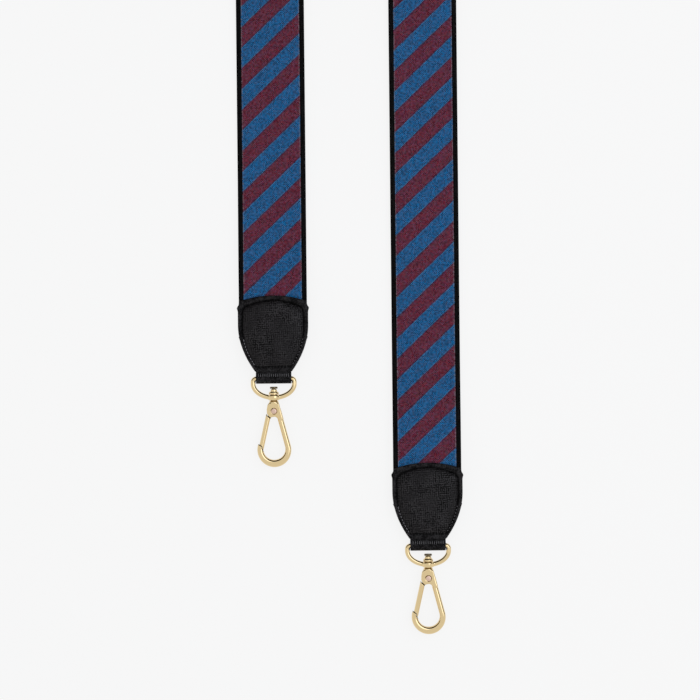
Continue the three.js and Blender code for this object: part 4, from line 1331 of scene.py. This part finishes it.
class STRAP_OT_hooks(bpy.types.Operator):
    """Cast both hook bodies"""
    bl_idname = "strap.hooks"
    bl_label = "Hook bodies"

    def execute(self, context):
        gap_shade_reach = 0.00022
        hook = context.scene.strap_hook
        plan = HookPlan(hook, context.scene.strap_ring)
        points, faces = casting(self.field(plan), *from_bar(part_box("right_hook_body")))
        middle = points[faces[0]].mean(1)
        # Painted shade: faces near the nose's notch get the dark metal, standing in for the shade in the
        # gap at the gate's end.
        gap_shade = outline_distance(middle[:, 0], middle[:, 1], self.notch_outline(plan)) < gap_shade_reach
        for side, bar in BARS.items():
            piece = new_piece(
                f"{side}_hook_casting", points + bar, faces, f"{side}_hook",
                polished_gold(hook))
            dress_faces(piece, [raw_casting(hook)], gap_shade)
            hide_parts(f"{side}_hook_body")
        return {"FINISHED"}

    def head_outline(self, plan):
        """The head seen from the front: from the collar down its left side, round the cheek where the gate
        starts, under the slot to the arm and back up."""
        hook, pivot = plan.hook, plan.pivot
        lower = arc(pivot, hook.cheek, hook.cheek, plan.side_angle(hook.gate_root, plan.outer),
                    plan.side_angle(hook.gate_root, plan.inner), 16)
        root = pivot[1] - hook.cheek * 1.15
        collar = plan.collar_foot
        return np.concatenate([
            [[-hook.collar, collar], [-hook.head_half + hook.bevel, collar - hook.collar_height],
             [-hook.head_half, pivot[1] + hook.head_half / 4]],
            lower,
            [[-hook.slot_radius / 3, pivot[1] - hook.cheek * 0.8],
             [hook.slot_radius / 5, pivot[1] - hook.cheek * 0.76],
             [plan.arm(root, -1)[0] - hook.bevel, pivot[1] - hook.cheek * 0.88], plan.arm(root, -0.4),
             plan.arm(root, 0.6), plan.arm(root + hook.bevel, 1),
             plan.arm(collar - hook.collar_height, 1), [hook.collar, collar]]])

    def notch_outline(self, plan):
        """The nose's slanting end and the notch below it, a clearance away from the closed gate."""
        hook, fit, past = plan.hook, plan.ring.fit / 2, 0.001
        reach = hook.gate_length + hook.tongue_length
        tip = plan.gate(reach, plan.inner)
        wall = plan.inner + hook.tongue + fit
        beyond = plan.outer + past

        def end(left):
            gap = fit * math.hypot(1, plan.end_slope)
            return hook.gate_length + plan.end_slope * (plan.outer - left) + gap

        outer = plan.gate(end(beyond), beyond)
        top, foot = outer[1] + past, tip[1] - 2 * fit
        return np.array([
            [outer[0], top], outer, plan.gate(end(wall), wall),
            plan.gate(reach - hook.tongue + fit / 2, wall), [tip[0] - fit / 2, foot], [0, foot], [0, top]])

    def field(self, plan):
        """Arm, bow, head, collar and shank joined with fillets, less the gate's slot, the rivet's hole and
        recesses, and the notch in the nose."""
        corner = 0.00025
        hook, ring, pivot = plan.hook, plan.ring, plan.pivot
        head = self.head_outline(plan)
        top = plan.arm(pivot[1])
        shank = both_sides(rounded_profile([
            [0, plan.collar_top - 2 * hook.collar_height],
            [hook.collar - hook.bevel, plan.collar_top - 2 * hook.collar_height],
            [hook.collar, plan.collar_foot], [hook.collar, plan.collar_top - hook.bevel],
            [hook.collar - hook.bevel, plan.collar_top], [ring.shank, plan.collar_top],
            [ring.shank, plan.shank_top], [ring.spigot, plan.shank_top],
            [ring.spigot, plan.shank_top + ring.spigot_height], [0, plan.shank_top + ring.spigot_height]],
            corner, 3))
        fan = np.concatenate([[pivot], arc(
            pivot, 2 * hook.cheek, 2 * hook.cheek,
            plan.side_angle(hook.gate_root, plan.outer + ring.fit), 270, 8)])
        notch = self.notch_outline(plan)

        def field(x, y, z):
            body = join(self.arm_field(plan, top, x, y, z),
                        slab(outline_distance(x, y, head), z, hook.thickness / 2, HEAD_EDGE), FILLET)
            body = join(body, outline_distance(np.sqrt(x ** 2 + z ** 2), y, shank), COLLAR_FILLET)
            about = np.sqrt((x - pivot[0]) ** 2 + (y - pivot[1]) ** 2)
            swing = np.minimum(outline_distance(x, y, fan), about - hook.slot_radius)
            body = cut(body, slab(swing, z, hook.slot / 2, HOLE_EDGE), BORE_EDGE)
            body = cut(body, about - hook.rivet - ring.fit, HOLE_EDGE)
            recess = np.maximum(
                about - hook.rivet_head - ring.fit, hook.thickness / 2 - hook.counterbore - np.abs(z))
            body = cut(body, recess, RECESS_EDGE)
            return cut(body, outline_distance(x, y, notch), RECESS_EDGE)

        return field

    def arm_field(self, plan, top, x, y, z):
        """A flattened bar: straight from the head to the foot of the bow, then round the bow to the nose.
        Its half width goes from slim to slim + (bow_half - slim) * exp(-((share - 0.5) / swelling)^2)."""
        swelling, overlap, seam_angle = 0.28, 0.0002, math.radians(70)
        hook = plan.hook
        along = plan.foot - top
        reach = np.linalg.norm(along)
        along = along / reach
        run = (x - top[0]) * along[0] + (y - top[1]) * along[1]
        offset = (x - top[0]) * along[1] - (y - top[1]) * along[0]
        half_depth = hook.arm_thickness / 2
        steps = hook.arm_steps

        def width(share):
            slim = hook.arm_half + (hook.nose_half - hook.arm_half) * share
            return slim + (hook.bow_half - slim) * np.exp(-(((share - 0.5) / swelling) ** 2))

        straight = bar_field(offset, z, width(np.clip(run / reach, 0, 1) * steps), half_depth)
        straight = np.maximum(straight, np.maximum(-run, run - reach - overlap))
        radius = np.sqrt((x - plan.bow[0]) ** 2 + (y - plan.bow[1]) ** 2)
        turn = hook.lean - np.arctan2(y - plan.bow[1], x - plan.bow[0])
        turn = np.mod(turn + seam_angle, 2 * math.pi) - seam_angle
        whole = hook.lean + 2 * math.pi - hook.nose
        share = steps + (1 - steps) * np.clip(turn / whole, 0, 1)
        bow = bar_field(radius - hook.bow, z, width(share), half_depth)
        bow = np.maximum(bow, -turn * hook.bow - overlap)
        return np.minimum(straight, cut(bow, (whole - turn) * hook.bow, FILLET))


def bar_field(offset, z, half_width, half_depth):
    """A bar whose section is the oval |offset / half_width|^2.5 + |z / half_depth|^2.5 = 1."""
    power = 2.5
    size = ((np.abs(offset) / half_width) ** power + (np.abs(z) / half_depth) ** power) ** (1 / power)
    return (size - 1) * np.minimum(half_width, half_depth)


class STRAP_OT_gates(bpy.types.Operator):
    """Cast both gates"""
    bl_idname = "strap.gates"
    bl_label = "Gates"

    def execute(self, context):
        hook, ring = context.scene.strap_hook, context.scene.strap_ring
        field = self.field(HookPlan(hook, ring))
        points, faces = casting(field, *from_bar(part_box("right_gate")), GATE_STEP)
        middle = points[faces[0]].mean(1)
        # Painted shade: faces round the gate's root, inside the head's slot, get the dark metal, standing
        # in for the shade there.
        gap_shade = np.hypot(middle[:, 0], middle[:, 1] + hook.pivot) < hook.gate_root + ring.fit / 3
        for side, bar in BARS.items():
            piece = new_piece(
                f"{side}_gate_casting", points + bar, faces, f"{side}_gate",
                polished_gold(hook))
            dress_faces(piece, [raw_casting(hook)], gap_shade)
            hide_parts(f"{side}_gate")
        return {"FINISHED"}

    def field(self, plan):
        """A rounded blade with a tongue, joined by a neck to a thin knuckle, with the rivet's hole."""
        step_down, neck_outer, neck_inner = 0.0004, 0.0007, 0.0004
        hook, ring, pivot = plan.hook, plan.ring, plan.pivot
        root = arc(pivot, hook.gate_root, hook.gate_root, plan.side_angle(hook.gate_root, plan.inner),
                   plan.side_angle(hook.gate_root, plan.outer) + math.degrees(hook.gate_horn), 16)
        shoulder = math.sqrt(hook.gate_root ** 2 - plan.outer ** 2) + step_down
        reach = hook.gate_length + hook.tongue_length
        blade = np.concatenate([root, [
            plan.gate(shoulder, plan.outer), plan.gate(hook.gate_length, plan.outer),
            plan.gate(hook.gate_length + hook.gate_drop, plan.inner + hook.tongue),
            plan.gate(reach - hook.tongue, plan.inner + hook.tongue), plan.gate(reach, plan.inner)]])
        neck = np.array([
            plan.gate(0, hook.knuckle * 0.9), plan.gate(hook.gate_root * 1.4, plan.outer - neck_outer),
            plan.gate(hook.gate_root * 1.4, plan.inner + neck_inner), plan.gate(0, 0)])
        level = -hook.slot / 2 + ring.fit + hook.knuckle_thickness / 2

        def field(x, y, z):
            left = (pivot[0] - x) * math.cos(hook.gate_lean) + (y - pivot[1]) * math.sin(hook.gate_lean)
            body = bar_field(left - hook.gate_offset, z, hook.gate_width / 2, hook.gate_thickness / 2)
            body = cut(body, -outline_distance(x, y, blade), BLADE_EDGE)
            about = np.sqrt((x - pivot[0]) ** 2 + (y - pivot[1]) ** 2)
            leaf = np.minimum(outline_distance(x, y, neck), about - hook.knuckle)
            leaf = slab(leaf, z - level, hook.knuckle_thickness / 2, RECESS_EDGE)
            return cut(join(body, leaf, RECESS_EDGE), about - hook.rivet - ring.fit, HOLE_EDGE)

        return field


class STRAP_OT_rivets(bpy.types.Operator):
    """Set the rivets and springs of both gates"""
    bl_idname = "strap.rivets"
    bl_label = "Rivets and springs"

    def execute(self, context):
        hook, ring = context.scene.strap_hook, context.scene.strap_ring
        coppery = polished_metal("rivet_metal", hook.rivet_colour, 0.3, 0.00004)
        steel = polished_metal("drawn_steel", hook.steel, 0.3)
        pivot = np.array([0, -hook.pivot, 0])
        points, faces = turned(self.rivet_profile(hook, ring))
        rivet = points[:, [0, 2, 1]] * [1, -1, 1] + pivot
        centres, across = self.spring_line(hook, ring)
        turn = np.linspace(0, 2 * math.pi, 12, endpoint=False)
        section = np.stack([np.cos(turn), np.sin(turn)], -1) * hook.spring_wire / 2
        spring, spring_faces = swept(carried(section, centres, across, np.broadcast_to(UP, centres.shape)))
        for side, bar in BARS.items():
            piece = new_piece(
                f"{side}_rivet_turning", rivet + bar, faces, f"{side}_hook", coppery)
            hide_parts(f"{side}_gate_rivet")
            piece = new_piece(
                f"{side}_hairpin_spring", spring + bar, spring_faces, f"{side}_hook", steel)
            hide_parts(f"{side}_gate_spring")
        return {"FINISHED"}

    def rivet_profile(self, hook, ring):
        """A pin with a low domed head at each end."""
        rim, rounding = 0.0001, 0.00035
        seat = hook.thickness / 2 - hook.counterbore + ring.fit
        top = seat + hook.rivet_rise
        head = rounded_profile([
            [hook.rivet, 0], [hook.rivet, seat], [hook.rivet_head, seat],
            [hook.rivet_head, top - rim], [0, top]], rounding)[1:]
        return np.concatenate([head[::-1] * [1, -1], head])

    def spring_line(self, hook, ring):
        """Most of a turn round the rivet, with one leg into the head and one down to the gate."""
        pivot = np.array([0, -hook.pivot])
        coil = arc(pivot, hook.spring, hook.spring, 150, -110, 40)
        ray = (coil[0] - pivot) / np.linalg.norm(coil[0] - pivot)
        first = pivot + ray * (hook.slot_radius - hook.spring_wire)
        line = np.concatenate([[first], coil, [pivot + [-hook.spring / 2, -hook.spring_leg]]])
        along = unit(np.gradient(line, axis=0))
        level = -hook.slot / 2 + 2 * ring.fit + hook.knuckle_thickness + hook.spring_wire / 2
        across = np.stack([along[:, 1], -along[:, 0], np.zeros(len(line))], -1)
        return at_height(line, level), across


# THE STAGE

class STRAP_OT_stage(bpy.types.Operator):
    """Set the camera, the lights, the pale floor and the background"""
    bl_idname = "strap.stage"
    bl_label = "Stage"

    def execute(self, context):
        stage = context.scene.strap_stage
        self.camera(context.scene, stage)
        self.floor(stage)
        self.lights(stage)
        self.world(context.scene, stage)
        context.scene.view_settings.view_transform = "Standard"
        return {"FINISHED"}

    def camera(self, scene, stage):
        data = bpy.data.cameras.new("camera")
        data.lens = stage.lens
        camera = bpy.data.objects.new("camera", data)
        scene.collection.objects.link(camera)
        above = stage.view_width / data.sensor_width * data.lens
        camera.location = (stage.aside, stage.aim, above + BARS["left"][2])
        camera.rotation_euler = (0, 0, stage.roll)
        scene.camera = camera

    def floor(self, stage):
        """A table that catches the shadows. The camera and mirrors see it nearly as bright as the
        background: share of its light is reflected, and the rest is its own."""
        reach, gap, share, pale = 12.0, 0.0001, 0.1, 0.85
        mesh = bpy.data.meshes.new("floor")
        corners = [(-reach, -reach, 0), (reach, -reach, 0), (reach, reach, 0), (-reach, reach, 0)]
        mesh.from_pydata(corners, [], [(0, 1, 2, 3)])
        floor = bpy.data.objects.new("floor", mesh)
        floor.location = (0, 0, -gap)
        bpy.context.scene.collection.objects.link(floor)
        material, tree, _ = new_material("floor")
        plain = tree.nodes.new("ShaderNodeBsdfDiffuse")
        plain.inputs["Color"].default_value = (pale, pale, pale, 1)
        shadowed = tree.nodes.new("ShaderNodeBsdfDiffuse")
        shadowed.inputs["Color"].default_value = (share, share, share, 1)
        glow = tree.nodes.new("ShaderNodeEmission")
        glow.inputs["Strength"].default_value = stage.backdrop - share
        shown = tree.nodes.new("ShaderNodeAddShader")
        tree.links.new(shadowed.outputs[0], shown.inputs[0])
        tree.links.new(glow.outputs[0], shown.inputs[1])
        choose = tree.nodes.new("ShaderNodeMixShader")
        tree.links.new(seen_directly(tree).socket, choose.inputs[0])
        tree.links.new(plain.outputs[0], choose.inputs[1])
        tree.links.new(shown.outputs[0], choose.inputs[2])
        tree.links.new(choose.outputs[0], tree.nodes["Material Output"].inputs["Surface"])
        mesh.materials.append(material)

    def lights(self, stage):
        """One large softbox, slightly blue, at the upper right."""
        size, place, target = (1.0, 1.1), (0.60, 0.18, 1.05), (0, -0.08, 0)
        data = bpy.data.lights.new("softbox", "AREA")
        data.shape = "RECTANGLE"
        data.size, data.size_y = size
        data.energy = stage.key
        data.color = (0.93, 1.0, 1.14)
        light = bpy.data.objects.new("softbox", data)
        bpy.context.scene.collection.objects.link(light)
        light.location = place
        aim = Vector(target) - Vector(place)
        light.rotation_euler = aim.to_track_quat("-Z", "Y").to_euler()

    def world(self, scene, stage):
        """White all round. Mirror-like parts see it darker from just below the horizon to part of the way
        up, on the side where the strap's bend lies, which gives polished metal its dark lines."""
        horizon, upper, towards_bend = (-0.19, -0.05), (0.41, 0.5), (0.06, 0.16)
        bright, darker = 0.85, 0.84
        world = bpy.data.worlds.new("world")
        world.use_nodes = True
        scene.world = world
        tree = world.node_tree
        source = tree.nodes.new("ShaderNodeTexCoord")
        x, y, z = axis_terms(tree, source.outputs["Generated"])
        side = x * 0.1 + y
        dark = z.ramp(*horizon) * ((z - side * 0.5).ramp(*upper) * -1 + 1) * side.ramp(*towards_bend)
        path = tree.nodes.new("ShaderNodeLightPath")
        camera = Term(tree, path.outputs["Is Camera Ray"])
        glossy = Term(tree, path.outputs["Is Glossy Ray"])
        mirrored = (dark * -darker + bright) * glossy
        level = camera * stage.backdrop + (camera * -1 + 1) * (glossy * -1 + 1) * stage.sky + mirrored
        background = tree.nodes["Background"]
        background.inputs["Color"].default_value = (1, 1, 1, 1)
        tree.links.new(level.socket, background.inputs["Strength"])


def seen_directly(tree):
    """1 for rays from the camera and for those mirrored or passed on by a piece."""
    path = tree.nodes.new("ShaderNodeLightPath")
    camera, glossy, passed = (
        Term(tree, path.outputs[f"Is {kind} Ray"]) for kind in ("Camera", "Glossy", "Transmission"))
    return camera.math("MAXIMUM", glossy).math("MAXIMUM", passed)


# THE PANEL AND REGISTRATION

PIECES = (
    STRAP_OT_stage, STRAP_OT_ribbon, STRAP_OT_backing, STRAP_OT_tab_fronts, STRAP_OT_tab_backs,
    STRAP_OT_ring_loops, STRAP_OT_tab_seams, STRAP_OT_rings, STRAP_OT_swivels, STRAP_OT_hooks,
    STRAP_OT_gates, STRAP_OT_rivets)

SETTINGS = {
    "strap_band": BandSettings, "strap_stripes": StripeSettings, "strap_tab": TabSettings,
    "strap_ring": RingSettings, "strap_hook": HookSettings, "strap_stage": StageSettings}


class STRAP_PT_panel(bpy.types.Panel):
    """Lists the strap's pieces in the sidebar"""
    bl_idname = "STRAP_PT_panel"
    bl_label = "Bag strap"
    bl_space_type = "VIEW_3D"
    bl_region_type = "UI"
    bl_category = "Bag strap"

    def draw(self, context):
        for operator in PIECES:
            self.layout.operator(operator.bl_idname)
        for name, group in SETTINGS.items():
            box = self.layout.box()
            for setting in group.__annotations__:
                box.prop(getattr(context.scene, name), setting)


def register():
    for name, group in SETTINGS.items():
        bpy.utils.register_class(group)
        setattr(bpy.types.Scene, name, bpy.props.PointerProperty(type=group))
    for item in (*PIECES, STRAP_PT_panel):
        bpy.utils.register_class(item)


def unregister():
    for item in reversed((*PIECES, STRAP_PT_panel)):
        bpy.utils.unregister_class(item)
    for name, group in reversed(SETTINGS.items()):
        delattr(bpy.types.Scene, name)
        bpy.utils.unregister_class(group)


def main():
    """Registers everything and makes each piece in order."""
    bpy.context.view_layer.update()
    register()
    for operator in PIECES:
        group, name = operator.bl_idname.split(".")
        getattr(getattr(bpy.ops, group), name)()


if __name__ == "__main__":
    main()
